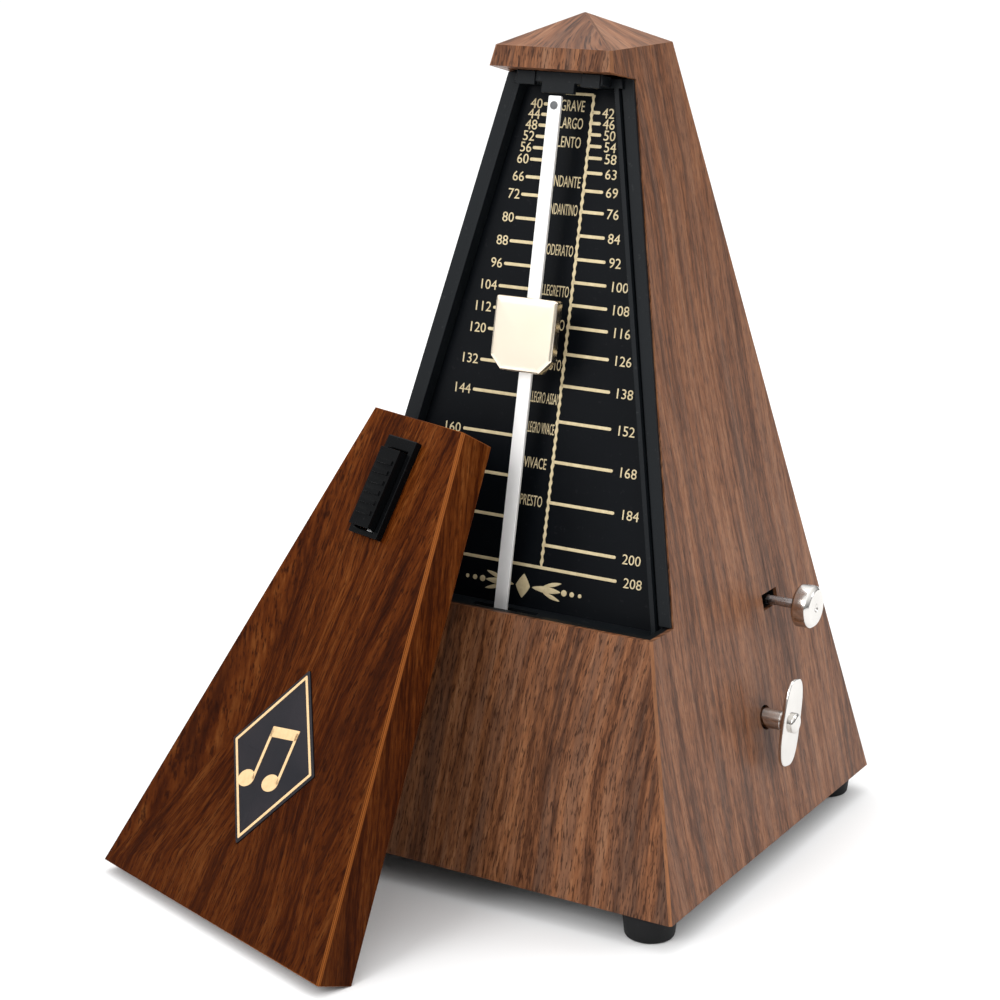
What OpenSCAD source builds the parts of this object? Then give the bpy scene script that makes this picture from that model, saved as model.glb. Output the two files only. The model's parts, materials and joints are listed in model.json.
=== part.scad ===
// Pyramid metronome with a wound clockwork, a sliding tempo weight, a bell and a lift-off front cover.
// The case is centred on X = Y = 0, the front faces -Y, and the feet stand on Z = 0.

/* [Case] */
// Width and depth of the case at its lower edge
base_w = 118; // [112:1:122]
// Height of the feet, which is where the case begins
foot_h = 7; // [5:0.5:9]
// Width of the case at the eave of its pyramid cap
eave_w = 32; // [31:0.5:33]
// Height of the eave above the floor
eave_z = 202.5; // [200:0.5:205]
// Height of the tip of the cap above the floor
apex_z = 210; // [208:0.5:214]
// Wall thickness of the case moulding
wall_t = 2.6; // [2.2:0.1:3]
// Width of the broken corners of the case
edge_w = 0.9; // [0.5:0.1:1.2]
// Height of the lip below the front window
lip_z = 70.3; // [69:0.1:72]
// How far the side walls stand back behind the front face, which is the room for the cover
cover_room = 11; // [10.5:0.1:12]
// Thickness of the base plate
base_t = 3; // [2:0.5:4]

/* [Cover] */
// Depth of the cover's side flanges
cover_d = 9.8; // [9.5:0.1:9.8]
// Wall thickness of the cover
cover_t = 2.4; // [2:0.1:2.8]
// Clearance between the cover's lower edge and the lip when it is in place
cover_gap = 0.3; // [0.2:0.1:0.5]
// Turn of the leaning cover about the vertical
cover_yaw = -18; // [-19:0.5:-17]
// Slope of the leaning cover from the vertical
cover_lean = 30.5; // [30:0.5:32]
// Where the middle of the leaning cover's lower front edge stands, across
cover_x = -41; // [-46:0.5:-41]
// Where the middle of the leaning cover's lower front edge stands, front to back
cover_y = -106; // [-110:0.5:-106]

/* [Window] */
// Depth of the scale plate's face behind the front face
plate_d = 12.5; // [12:0.1:13]
// Thickness of the scale plate
plate_t = 0.8; // [0.6:0.1:1]
// Depth of the outer ledge of the black frame
ledge_d = 10; // [9.8:0.1:10.4]
// Depth of the inner rim of the black frame
rim_d = 9; // [8.9:0.1:9.4]

/* [Pendulum] */
// Lean of the pendulum plane from the vertical
rod_lean = 11.3; // [11.1:0.05:11.4]
// Position of the pivot behind the case's middle line (front is negative)
pivot_y = -40.4; // [-40.6:0.1:-40.2]
// Height of the pivot
pivot_z = 58.5; // [58:0.1:59]
// Length of the rod above the pivot
rod_up = 135.1; // [130:0.1:135.2]
// Length of the rod below the pivot
rod_down = 40; // [36:0.5:41]
// Width of the rod
rod_w = 3.5; // [3.3:0.1:3.8]
// Thickness of the rod
rod_t = 0.9; // [0.8:0.1:1]
// Width of the sliding weight
weight_w = 17; // [15:0.5:18]
// Height of the sliding weight
weight_h = 18; // [16:0.5:19]
// Distance of the lower edge of the weight above the pivot
weight_s = 68.6; // [60:0.1:80]

/* [Winding] */
// Distance of the winding arbor behind the middle line
key_y = 4.6; // [4:0.1:5]
// Height of the winding arbor
key_z = 37; // [36.5:0.1:37.5]
// Length of the key's blade
blade_l = 22.4; // [20:0.1:24]
// Width of the key's blade
blade_w = 10; // [9.2:0.1:10.4]
// Lean of the key's blade
blade_turn = 11; // [0:1:20]

/* [Beat selector] */
// Distance of the selector rod behind the middle line
select_y = 17.6; // [17.4:0.1:17.8]
// Height of the selector rod
select_z = 63.6; // [63.6:0.1:63.8]
// Diameter of the selector rod
select_d = 2.4; // [2.2:0.1:2.4]
// Diameter of the selector knob
knob_d = 11; // [10:0.5:12]

/* [Movement] */
// Distance of each movement plate's inner face from the middle
plate_x = 22; // [22:0.5:23]
// Thickness of the movement plates
mplate_t = 1.6; // [1.4:0.1:1.8]
// Radius of the bell
bell_r = 15; // [14:0.5:15]
// Radial clearance of the arbors in their holes
run_fit = 0.05; // [0.03:0.01:0.08]

/* [Hidden] */
$fn = 48;
eps = 0.01;
big = 400;
slope = (base_w - eave_w) / 2 / (eave_z - foot_h);
lean = atan(slope);
wall_in = wall_t / cos(lean);
function half_at(z) = base_w / 2 - slope * (z - foot_h);
// Length along the front face from the lip up to the lower edge of the cap
window_h = (197.6 - lip_z) / cos(lean);
// Half width of the window at y up the front face and at depth d behind it
function win_half(y, d) = half_at(lip_z + y * cos(lean) - d * sin(lean));

foot_x = 49.7;
foot_y = 51.7;
foot_r = [6, 6.7];
screw_x = 30;
screw_y = 49.5;

shaft_r = 1.2;
main_r = 2;
hole_r = shaft_r + run_fit;
movement_y = [-31, 31];
movement_z = [12, 62];

// Tooth counts and pitch radii of the train
great_n = 48;
pinion_n = 12;
second_n = 40;
crown_n = 10;
mod_a = 0.75;
mod_b = 0.6;
great_pr = mod_a * great_n / 2;
pinion_pr = mod_a * pinion_n / 2;
second_pr = mod_b * second_n / 2;
crown_pr = mod_b * crown_n / 2;
escape_n = 15;
escape_r = 8.5;

// Axes of the arbors, as [y, z] in the planes of the plates
great_c = [key_y, key_z];
crown_y = -12;
// Height of the pendulum's arbor at a given y
function arbor_z(y) = pivot_z - (y - pivot_y) * tan(rod_lean);
crown_c = [crown_y, arbor_z(crown_y)];
// The crossing of two circles about p and q with radii a and b, on the side given by s
function crossing(p, q, a, b, s) =
    let (d = norm(q - p), u = (q - p) / d, m = (a * a - b * b + d * d) / (2 * d), h = sqrt(a * a - m * m))
    p + m * u + s * h * [-u[1], u[0]];
second_c = crossing(great_c, crown_c, great_pr + pinion_pr, second_pr + crown_pr, 1);
beat_a = 62;
beat_c = great_c + (great_pr + pinion_pr) * [cos(beat_a), sin(beat_a)];
hammer_c = [27, 46];
bell_c = [8, 30];
function angle_to(p, q) = atan2(q[1] - p[1], q[0] - p[0]);

walnut = "#5a3220";
black = "#15191a";
steel = "#c8cacc";
nickel = "#d8d8d4";
brass = "#c8a04a";
gold = "#d9c49a";

// ---------- frames ----------

// X stays, Y runs up the front face from the lip, Z points out of it
module on_front() translate([0, -half_at(lip_z), lip_z]) rotate([90 - lean, 0, 0]) children();

// X stays, Y runs up the pendulum rod from its pivot, Z points forwards out of its plane
module on_rod() translate([0, pivot_y, pivot_z]) rotate([90 - rod_lean, 0, 0]) children();

// Local X and Y are the row's Y and Z about the point c, and local Z is the row's X from x on
module on_x(x, c) translate([x, c[0], c[1]]) rotate([90, 0, 90]) children();

// The closed cover carried to where it leans in front of the case
module lean_cover()
    translate([cover_x, cover_y, cover_d / cos(lean) * sin(cover_lean - lean)])
        rotate([lean - cover_lean, 0, cover_yaw])
            translate([0, half_at(cover_low_z), -cover_low_z])
                children();

cover_low_z = lip_z + cover_gap;

// Everything above height z
module above(z) translate([-big / 2, -big / 2, z]) cube([big, big, big]);

// ---------- shared shapes ----------

// Outline of the case seen from one side, brought in by inset and widened by grow
module side_outline(inset, grow = 1, trim = 0) {
    low = foot_h - 1;
    side = inset / cos(lean);
    drop = inset * 1.1;
    polygon([
        [-(half_at(low) - side) * grow + trim, low],
        [(half_at(low) - side) * grow - trim, low],
        [(half_at(eave_z - drop) - side) * grow - trim, eave_z - drop],
        [0, apex_z - drop - trim * 0.3],
        [-(half_at(eave_z - drop) - side) * grow + trim, eave_z - drop]
    ]);
}

// Solid of the whole pyramid brought in by inset
module tower(inset) {
    intersection() {
        rotate([90, 0, 0]) linear_extrude(big, center = true) side_outline(inset);
        rotate([90, 0, 90]) linear_extrude(big, center = true) side_outline(inset);
        above(foot_h);
    }
}

// The outer pyramid with its four corners broken by a flat of the width edge_w
module outer_tower() {
    intersection() {
        tower(0);
        rotate([90, 0, 45]) linear_extrude(big, center = true) side_outline(0, sqrt(2), edge_w / 2);
        rotate([90, 0, 135]) linear_extrude(big, center = true) side_outline(0, sqrt(2), edge_w / 2);
    }
}

// The room that the cover takes when it is in place, down to height low and d deep
module cover_space(low, d) {
    intersection() {
        on_front() translate([-base_w, -30, -d]) cube([2 * base_w, window_h + 30, d + 30]);
        above(low);
    }
}

// Slab of the window's tapering outline, brought in by a, from depth d0 to d1 and from y0 to y1
module window_slab(a, d0, d1, y0, y1) {
    translate([0, 0, -d1]) linear_extrude(d1 - d0) polygon([
        [-(win_half(y0, d0) - a), y0],
        [win_half(y0, d0) - a, y0],
        [win_half(y1, d0) - a, y1],
        [-(win_half(y1, d0) - a), y1]
    ]);
}

// Two tapering strips along the window's sides, between the insets a and b
module window_strips(a, b, d0, d1, y0, y1) {
    difference() {
        window_slab(a, d0, d1, y0, y1);
        window_slab(b, d0 - 1, d1 + 1, y0 - 1, y1 + 1);
    }
}

module disc(r, h, bore = 0) {
    difference() {
        cylinder(r = r, h = h);
        if (bore > 0) translate([0, 0, -1]) cylinder(r = bore, h = h + 2);
    }
}

// Spur gear with n teeth of module m, one tooth centred on the angle a
module gear(n, m, a, h, bore) {
    pr = m * n / 2;
    tip = pr + 0.85 * m;
    root = pr - 1.1 * m;
    pitch = 360 / n;
    difference() {
        linear_extrude(h) polygon([
            for (i = [0:n - 1])
                for (p = [[-0.30, root], [-0.13, tip], [0.13, tip], [0.30, root]])
                    p[1] * [cos(a + (i + p[0]) * pitch), sin(a + (i + p[0]) * pitch)]
        ]);
        translate([0, 0, -1]) cylinder(r = bore, h = h + 2);
    }
}

// Movement plate without its holes, with the ear that guides the selector rod
module plate_blank() {
    linear_extrude(mplate_t) {
        translate([movement_y[0], movement_z[0]])
            square([movement_y[1] - movement_y[0], movement_z[1] - movement_z[0]]);
        translate([select_y - 4, movement_z[1] - 1]) square([8, 6]);
    }
}

pillar_c = [[-27.5, 17.3], [27, 17.3], [27, 58], [4, 59.2]];

// Holes that both plates share
module plate_holes() {
    for (c = [second_c, beat_c, hammer_c])
        on_x(-big / 2, c) cylinder(r = hole_r, h = big);
    on_x(-big / 2, great_c) cylinder(r = main_r + run_fit, h = big);
    on_x(-big / 2, [select_y, select_z]) cylinder(r = select_d / 2 + run_fit, h = big);
}

// ---------- case ----------

module case_shell() color(walnut) {
    difference() {
        union() {
            difference() {
                outer_tower();
                difference() {
                    tower(wall_t);
                    above(196.5);
                }
                translate([0, 0, foot_h - 1]) cube([2 * half_at(foot_h) - 2 * wall_in,
                    2 * half_at(foot_h) - 2 * wall_in, 2 + eps], center = true);
            }
            intersection() {
                tower(wall_t / 2);
                for (x = [-1, 1], y = [-1, 1])
                    translate([x * screw_x - 4, y > 0 ? screw_y - 4 : -screw_y - 16, foot_h + base_t])
                        cube([8, 20, 18]);
            }
        }
        cover_space(lip_z, cover_room);
        for (x = [-1, 1], y = [-1, 1])
            translate([x * screw_x, y * screw_y, foot_h]) cylinder(r = 1.25, h = 14);
        // Hole for the key and slot for the beat selector, both in the right wall
        on_x(40, great_c) cylinder(r = hub_r + hub_room, h = 20);
        translate([36, select_y - 4.3, select_z - 1.8]) cube([20, 8.6, 4]);
    }
}

module base_plate() color(black) {
    difference() {
        intersection() {
            tower(wall_t + 0.15);
            translate([-base_w / 2, -base_w / 2, foot_h]) cube([base_w, base_w, base_t]);
        }
        for (x = [-1, 1], y = [-1, 1]) translate([x * screw_x, y * screw_y, foot_h]) {
            translate([0, 0, -1]) cylinder(r = 1.4, h = base_t + 2);
            translate([0, 0, -1]) cylinder(r = 2.8, h = 2.6);
        }
    }
}

module feet() color(black)
    for (x = [-1, 1], y = [-1, 1])
        translate([x * foot_x, y * foot_y, 0]) rotate_extrude() polygon([
            [0, 0], [foot_r[0] - 0.6, 0], [foot_r[0], 0.6], [foot_r[1], foot_h], [0, foot_h]
        ]);

module base_screws() color(steel)
    for (x = [-1, 1], y = [-1, 1]) translate([x * screw_x, y * screw_y, foot_h]) {
        difference() {
            cylinder(r = 2.6, h = 1.6);
            translate([-0.4, -3, -1]) cube([0.8, 6, 1.7]);
        }
        cylinder(r = 1.2, h = 12);
    }

// Black frame round the window, with the tray below it that the rod comes through
tray_z = 68.2;
tray_t = 1.6;
module bezel_frame() color(black) {
    difference() {
        union() {
            intersection() {
                on_front() union() {
                    window_strips(2.85, 4.2, 10.8, 16, -8, window_h - 0.4);
                    window_strips(3.9, 5, rim_d, 16, -8, window_h - 0.4);
                    window_strips(2.85, 8.5, plate_d + plate_t, 14.8, -8, window_h - 0.4);
                    window_slab(2.85, plate_d + plate_t, 14.8, window_h - 12, window_h - 0.4);
                    window_slab(2.85, rim_d, 14.8, window_h - 2.6, window_h - 0.4);
                }
                above(tray_z - tray_t);
            }
            on_front() window_strips(0.4, 3.4, ledge_d, cover_room, 2.6, window_h - 0.2);
            intersection() {
                tower(wall_t + 0.25);
                on_front() translate([-base_w, -20, -15.5]) cube([2 * base_w, 40, 16]);
                translate([-base_w, -base_w, tray_z - tray_t]) cube([2 * base_w, 2 * base_w, tray_t]);
            }
        }
        // Slot for the swinging rod, and the bed of the scale plate
        translate([-9, -41, tray_z - 5]) cube([18, 6, 10]);
    }
}

module scale_plate() color("#0b1018")
    intersection() {
        on_front() window_slab(5.4, plate_d, plate_d + plate_t, -6, window_h - 2.8);
        above(tray_z + 0.02);
    }

// Catch bar under the cap: a tab in front of the rod's tip and two blocks for the cover's hook
module rod_clip() color(black)
    on_front() union() {
        translate([-4.5, window_h - 5.1, -6.2]) cube([9, 5.0, 1.4]);
        translate([-12, window_h - 2.6, -9]) cube([24, 2.5, 4.2]);
        translate([-11.5, window_h - 3.4, -5.6]) cube([5.2, 3.3, 1.2]);
        translate([6.3, window_h - 3.4, -5.6]) cube([5.2, 3.3, 1.2]);
    }

// ---------- movement: fixed pieces ----------

module movement_plate_right() color(brass)
    difference() {
        on_x(plate_x, [0, 0]) plate_blank();
        plate_holes();
    }

module movement_plate_left() color(brass)
    difference() {
        on_x(-plate_x - mplate_t, [0, 0]) plate_blank();
        plate_holes();
        on_x(-big / 2, crown_c) cylinder(r = hole_r, h = big);
    }

module movement_pillars() color(steel)
    for (c = pillar_c) on_x(-plate_x, c) cylinder(r = 2.5, h = 2 * plate_x);

module pillar_nuts() color(steel)
    for (c = pillar_c, s = [0, 1]) on_x(s == 0 ? -plate_x - mplate_t - 2 : plate_x + mplate_t, c)
        cylinder(r = 2.6, h = 2, $fn = 6);

module movement_rails() color(black)
    for (s = [-1, 1])
        translate([s * (plate_x + mplate_t / 2) - 5, movement_y[0], foot_h + base_t])
            difference() {
                cube([10, movement_y[1] - movement_y[0], 4]);
                translate([5 - mplate_t / 2, -1, 2]) cube([mplate_t, 80, 3]);
            }

// Bridge in front of the plates that carries the front end of the pendulum's arbor
module front_bearing() color(brass)
    difference() {
        on_rod() translate([-plate_x - mplate_t, -4, -6.2]) cube([2 * (plate_x + mplate_t), 8, 1.6]);
        on_rod() translate([0, 0, -20]) cylinder(r = hole_r, h = 40);
    }

// Cock that carries the rear end of the pendulum's arbor
rear_w = -46.5;
module rear_bearing() color(brass)
    difference() {
        on_rod() translate([-plate_x, -3.2, rear_w]) cube([plate_x + 3, 6.4, 1.8]);
        on_rod() translate([0, 0, rear_w - 5]) cylinder(r = hole_r, h = 12);
    }

// Inner bearing of the crown wheel's arbor, held off the left plate by two posts
module crown_cock() color(brass)
    difference() {
        union() {
            on_x(-12, crown_c) translate([-6, -3]) cube([12, 6, 1.6]);
            for (s = [-1, 1]) on_x(-plate_x, crown_c + [s * 4.8, 0]) cylinder(r = 1, h = 11);
        }
        on_x(-14, crown_c) cylinder(r = hole_r, h = 6);
    }

bell_x = -41;
bell_h = 9;
module bell_post() color(steel)
    union() {
        on_x(bell_x + 1.5, bell_c) cylinder(r = 2, h = -plate_x - mplate_t - bell_x - 1.5);
        on_x(-plate_x - mplate_t - 1.5, bell_c) cylinder(r = 4, h = 1.5);
    }

// Domed bell with its mouth towards the left plate
bell_t = 1;
module bell() color(steel)
    difference() {
        on_x(bell_x, bell_c) rotate_extrude($fn = 64) difference() {
            bell_section(0);
            bell_section(bell_t);
        }
        on_x(bell_x - 1, bell_c) cylinder(r = 1.3, h = 5);
    }

// Half section of the bell's outer shape, brought in by inset
module bell_section(inset) {
    round_r = 6 - inset;
    intersection() {
        union() {
            translate([0, inset]) square([bell_r - 6, bell_h + 1]);
            translate([0, 6]) square([bell_r - inset, bell_h - 6 + (inset > 0 ? 1 : 0)]);
            translate([bell_r - 6, 6]) circle(r = round_r, $fn = 48);
        }
        square([bell_r, bell_h + 1]);
        if (inset == 0) square([bell_r, bell_h]);
    }
}

module bell_screw() color(steel)
    union() {
        on_x(bell_x - 1.8, bell_c) cylinder(r = 2.6, h = 1.8);
        on_x(bell_x, bell_c) cylinder(r = 1.25, h = 1.5);
    }

// Leaf that presses the selector rod into its grooves
module selector_click() color(steel)
    union() {
        translate([8, select_y - 1.5, select_z + select_d / 2 + 0.15]) cube([plate_x - 8, 3, 0.4]);
        translate([plate_x - 1.2, select_y - 1.5, select_z + select_d / 2 + 0.15]) cube([1.2, 3, 1.6]);
    }

// ---------- winding body ----------

arbor_end = 58;
module key_arbor() color(steel)
    union() {
        on_x(-plate_x - mplate_t, great_c) cylinder(r = main_r, h = arbor_end + plate_x + mplate_t);
        on_x(-plate_x - mplate_t - 1.2, great_c) cylinder(r = 3, h = 1.2);
    }

// Ratchet wheel with saw teeth, next to the great wheel
ratchet_n = 12;
ratchet_r = 6.5;
module ratchet_wheel() color(steel)
    on_x(5.4, great_c) difference() {
        linear_extrude(1.8) polygon([
            for (i = [0:ratchet_n - 1])
                for (p = [[0, ratchet_r], [0.12, ratchet_r - 1.4]])
                    p[1] * [cos((i + p[0]) * 360 / ratchet_n), sin((i + p[0]) * 360 / ratchet_n)]
        ]);
        translate([0, 0, -1]) cylinder(r = main_r, h = 4);
    }

// Key with a long hub that screws on the arbor and an oval blade across it
hub_r = 2.5;
hub_x = 49.5;
tip_r = 4.3;
blade_x = 58.7;
blade_t = 1.1;
boss_r = 2.6;
hub_room = 0.6;
module winding_key() color(nickel)
    difference() {
        union() {
            on_x(hub_x, great_c) cylinder(r = hub_r, h = blade_x - hub_x + blade_t / 2);
            on_x(blade_x, great_c) rotate([0, 0, -blade_turn]) linear_extrude(blade_t) union() {
                for (s = [-1, 1]) translate([0, s * (blade_l / 2 - tip_r)]) circle(r = tip_r);
                for (s = [-1, 1]) translate([0, s * 4.1]) circle(r = blade_w / 2);
                square([2 * tip_r, blade_l - 2 * tip_r], center = true);
                square([blade_w, 8.2], center = true);
            }
            on_x(blade_x + blade_t - eps, great_c) rotate_extrude() polygon([
                [0, 0], [boss_r, 0], [boss_r, 0.9], [boss_r - 0.5, 1.4], [0, 1.6]
            ]);
        }
        on_x(40, great_c) cylinder(r = main_r, h = arbor_end - 40);
    }

// ---------- great wheel and its spring barrel ----------

module great_wheel() color(brass)
    on_x(8, great_c) difference() {
        gear(great_n, mod_a, angle_to(great_c, second_c), 2, main_r + run_fit);
        for (a = [0:60:300]) rotate([0, 0, a + 30]) translate([11.5, 0, -1]) cylinder(r = 2.4, h = 4);
    }

barrel_r = 14.6;
module spring_barrel() color(brass)
    on_x(10, great_c) difference() {
        cylinder(r = barrel_r, h = 9.5, $fn = 64);
        translate([0, 0, 1]) cylinder(r = barrel_r - 1, h = 10, $fn = 64);
        translate([0, 0, -1]) cylinder(r = main_r + run_fit, h = 4);
    }

module barrel_lid() color(brass)
    on_x(19.5, great_c) disc(barrel_r, 0.9, main_r + run_fit);

// Mainspring: a flat strip wound in a spiral inside the barrel
spring_turns = 6;
function spiral(r0, r1, n, w) = concat(
    [for (i = [0:n]) (r0 + (r1 - r0) * i / n) * [cos(360 * spring_turns * i / n), sin(360 * spring_turns * i / n)]],
    [for (i = [n:-1:0]) (r0 + w + (r1 - r0) * i / n) * [cos(360 * spring_turns * i / n), sin(360 * spring_turns * i / n)]]
);
module mainspring() color("#4d6078")
    on_x(11.4, great_c) linear_extrude(7.6) polygon(spiral(4, barrel_r - 2.2, 150, 0.5));

module ratchet_click() color(steel)
    on_x(5.6, great_c) rotate([0, 0, 23]) union() {
        linear_extrude(1.4) polygon([
            [ratchet_r + 2.2, -4.6], [ratchet_r + 4.6, -4], [ratchet_r + 1.8, 2], [ratchet_r + 0.3, 1.6]
        ]);
        translate([ratchet_r + 3.4, -4.2, 0]) cylinder(r = 1.4, h = 2.4);
    }

// ---------- second and crown arbors ----------

module second_arbor() color(steel)
    on_x(-plate_x - mplate_t, second_c) cylinder(r = shaft_r, h = 2 * (plate_x + mplate_t));

module second_pinion() color(steel)
    on_x(7.4, second_c)
        gear(pinion_n, mod_a, angle_to(second_c, great_c) + 180 / pinion_n, 3.2, shaft_r);

module second_wheel() color(brass)
    on_x(-18.4, second_c) difference() {
        gear(second_n, mod_b, angle_to(second_c, crown_c), 1.4, shaft_r);
        for (a = [0:72:288]) rotate([0, 0, a]) translate([7, 0, -1]) cylinder(r = 1.9, h = 4);
    }

crown_tip = -4.2;
module crown_arbor() color(steel)
    on_x(-plate_x - mplate_t, crown_c) cylinder(r = shaft_r, h = plate_x + mplate_t - 6.8);

module crown_pinion() color(steel)
    on_x(-19.2, crown_c)
        gear(crown_n, mod_b, angle_to(crown_c, second_c) + 180 / crown_n, 3, shaft_r);

// Escape wheel of crown form, with its teeth towards the pendulum's arbor
crown_disc_x = -9.6;
module crown_wheel() color(brass)
    on_x(crown_disc_x, crown_c) difference() {
        rotate_extrude() polygon([
            [shaft_r, 0], [escape_r, 0], [escape_r, crown_tip - crown_disc_x],
            [escape_r - 0.9, crown_tip - crown_disc_x], [escape_r - 0.9, 1], [2.6, 1], [2.6, 2.8], [shaft_r, 2.8]
        ]);
        for (i = [0:escape_n - 1]) rotate([0, 0, i * 360 / escape_n])
            translate([0, 0.5 - escape_r, crown_tip - crown_disc_x]) rotate([90, 0, 0])
                translate([0, 0, -1.5]) linear_extrude(3) polygon([[-1.4, 0.5], [-1.1, -2.2], [1.6, 0.5]]);
    }

// ---------- beat wheels and bell hammer ----------

module beat_arbor() color(steel)
    on_x(-plate_x - mplate_t, beat_c) cylinder(r = shaft_r, h = 2 * (plate_x + mplate_t));

// How far the great wheel's nearest tooth stands before the line to the beat pinion
beat_lead = (angle_to(great_c, beat_c) - angle_to(great_c, second_c) + 360) % (360 / great_n);
module beat_pinion() color(steel)
    on_x(7.4, beat_c)
        gear(pinion_n, mod_a,
            angle_to(beat_c, great_c) + 180 / pinion_n + beat_lead * great_n / pinion_n, 3.2, shaft_r);

// Four wheels with 2, 3, 4 and 6 lifting teeth, one for each count of the bell
module beat_wheels() color(brass)
    for (i = [0:3]) on_x(-18 + i * 3.6, beat_c) difference() {
        union() {
            cylinder(r = 2.8, h = 2);
            for (k = [0:[2, 3, 4, 6][i] - 1]) rotate([0, 0, k * 360 / [2, 3, 4, 6][i]])
                translate([2.2, -0.6, 0]) cube([2, 1.2, 2]);
        }
        translate([0, 0, -1]) cylinder(r = shaft_r, h = 4);
    }

hammer_x = -35;
head_a = 62;
head_c = bell_c + (bell_r + 3.3) * [cos(head_a), sin(head_a)];
module hammer_arbor() color(steel)
    union() {
        on_x(hammer_x, hammer_c) cylinder(r = shaft_r, h = plate_x + mplate_t - hammer_x);
        on_x(hammer_x - 1, hammer_c) cylinder(r = 2.4, h = 2.4);
        on_x(hammer_x - 0.6, hammer_c) rotate([0, 0, angle_to(hammer_c, head_c)])
            translate([0, -0.7, 0]) cube([norm(head_c - hammer_c) - 1.2, 1.4, 1.4]);
    }

module hammer_head() color(brass)
    on_x(hammer_x - 1.6, head_c) cylinder(r = 2, h = 3.6);

module hammer_lifter() color(steel)
    on_x(-19, hammer_c) difference() {
        union() {
            cylinder(r = 2.4, h = 16);
            rotate([0, 0, angle_to(hammer_c, beat_c)]) translate([1, -0.6, 0])
                cube([norm(beat_c - hammer_c) - 4.9 - 1, 1.2, 16]);
        }
        translate([0, 0, -1]) cylinder(r = shaft_r, h = 18);
    }

// ---------- pendulum ----------

module pendulum_rod() color(steel)
    on_rod() difference() {
        translate([-rod_w / 2, -rod_down, -rod_t / 2]) cube([rod_w, rod_down + rod_up, rod_t]);
        translate([0, 0, -3]) cylinder(r = shaft_r, h = 6);
        translate([0, rod_up - 2.3, -3]) cylinder(r = 0.6, h = 6);
    }

module pendulum_arbor() color(steel)
    on_rod() translate([0, 0, -49]) cylinder(r = shaft_r, h = 51);

module pendulum_hub() color(brass)
    on_rod() union() {
        translate([0, 0, -rod_t / 2 - 3]) disc(4, 3, shaft_r);
        translate([0, 0, rod_t / 2]) disc(3, 1.2, shaft_r);
    }

// Heavy disc on the rod's lower end that makes the pendulum hang upright
counter_r = 11;
counter_t = 12;
// How far the disc stands in front of the rod's plane, clear of the leaning front wall
counter_front = 3.6;
module counterweight() color("#6d7073")
    on_rod() translate([0, -rod_down + 5, 0]) difference() {
        translate([0, 0, counter_front - counter_t]) rotate_extrude() polygon([
            [0, 0], [counter_r - 1, 0], [counter_r, 1], [counter_r, counter_t - 1],
            [counter_r - 1, counter_t], [0, counter_t]
        ]);
        translate([-rod_w / 2, -20, -rod_t / 2]) cube([rod_w, 40, rod_t]);
    }

// Two pallets on the pendulum's arbor, a right angle apart, over the crown wheel's teeth
pallet_w = (pivot_y - crown_y) / cos(rod_lean);
module verge_pallets() color(steel)
    on_rod() difference() {
        for (s = [-1, 1]) translate([0, 0, pallet_w + s * (escape_r - 0.6) - 1.2]) {
            cylinder(r = 2, h = 2.4);
            rotate([0, 0, 180 + s * 48]) translate([0, -0.4, 0]) cube([4.2, 0.8, 2.4]);
        }
        translate([0, 0, -60]) cylinder(r = shaft_r, h = 70);
    }

module rod_rivet() color(nickel)
    on_rod() translate([0, rod_up - 2.3, 0]) union() {
        translate([0, 0, -rod_t / 2]) cylinder(r = 0.6, h = rod_t);
        translate([0, 0, rod_t / 2]) disc(1.0, 0.25);
    }

weight_front = 3.9;
module sliding_weight() color(gold)
    on_rod() translate([0, weight_s, rod_t / 2 + 0.1]) difference() {
        linear_extrude(weight_front - rod_t / 2 - 0.1) polygon([
            [-weight_w / 2 + 3.1, 0], [weight_w / 2 - 3.1, 0], [weight_w / 2, 3.3],
            [weight_w / 2, weight_h], [-weight_w / 2, weight_h], [-weight_w / 2, 3.3]
        ]);
        translate([-rod_w / 2 - 0.3, -1, -1]) cube([rod_w + 0.6, weight_h + 2, 1.3]);
    }

// Clip round the back of the rod that holds the weight where it is put
module weight_clip() color(gold)
    on_rod() translate([0, weight_s, 0]) union() {
        for (s = [-1, 1]) translate([s > 0 ? rod_w / 2 + 0.2 : -rod_w / 2 - 1.4, 2, -1.3])
            cube([1.2, weight_h - 6, 1.3 + rod_t / 2 + 0.1]);
        translate([-rod_w / 2 - 1.4, 2, -1.3]) cube([rod_w + 2.8, weight_h - 6, 0.7]);
    }

// ---------- beat selector ----------

knob_x = 53.6;
knob_l = 5.8;
groove_step = 2.4;
module selector_rod() color(steel)
    difference() {
        on_x(-28, [select_y, select_z]) cylinder(r = select_d / 2, h = 28 + knob_x + 1);
        for (i = [-2:2]) on_x(12 + i * groove_step, [select_y, select_z])
            rotate_extrude() translate([select_d / 2, 0]) polygon([[-0.25, 0], [0.5, -0.6], [0.5, 0.6]]);
    }

module selector_knob() color(nickel)
    on_x(knob_x, [select_y, select_z]) difference() {
        rotate_extrude() polygon([
            [0, 0], [2.4, 0], [2.4, 0.8], [knob_d / 2 - 0.8, 0.8], [knob_d / 2, 1.4],
            [knob_d / 2, knob_l - 0.9], [knob_d / 2 - 0.9, knob_l], [0, knob_l]
        ]);
        translate([0, 0, -1]) cylinder(r = select_d / 2, h = 2);
        translate([0, 0, knob_l - 0.5]) cylinder(r = 1.1, h = 2);
    }

module selector_finger() color(brass)
    on_x(-15, [select_y, select_z]) difference() {
        union() {
            cylinder(r = 2.4, h = 2.4);
            translate([-0.8, 1, 0]) cube([1.6, 3.4, 2.4]);
        }
        translate([0, 0, -1]) cylinder(r = select_d / 2, h = 5);
    }

// ---------- cover ----------

// Slab of the front face, d deep, from the height low up to the cap, shortened there by cut
module front_slab(d, low, cut) {
    intersection() {
        on_front() translate([-base_w, -30, -d]) cube([2 * base_w, window_h + 30 - cut, d]);
        above(low);
    }
}

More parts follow.
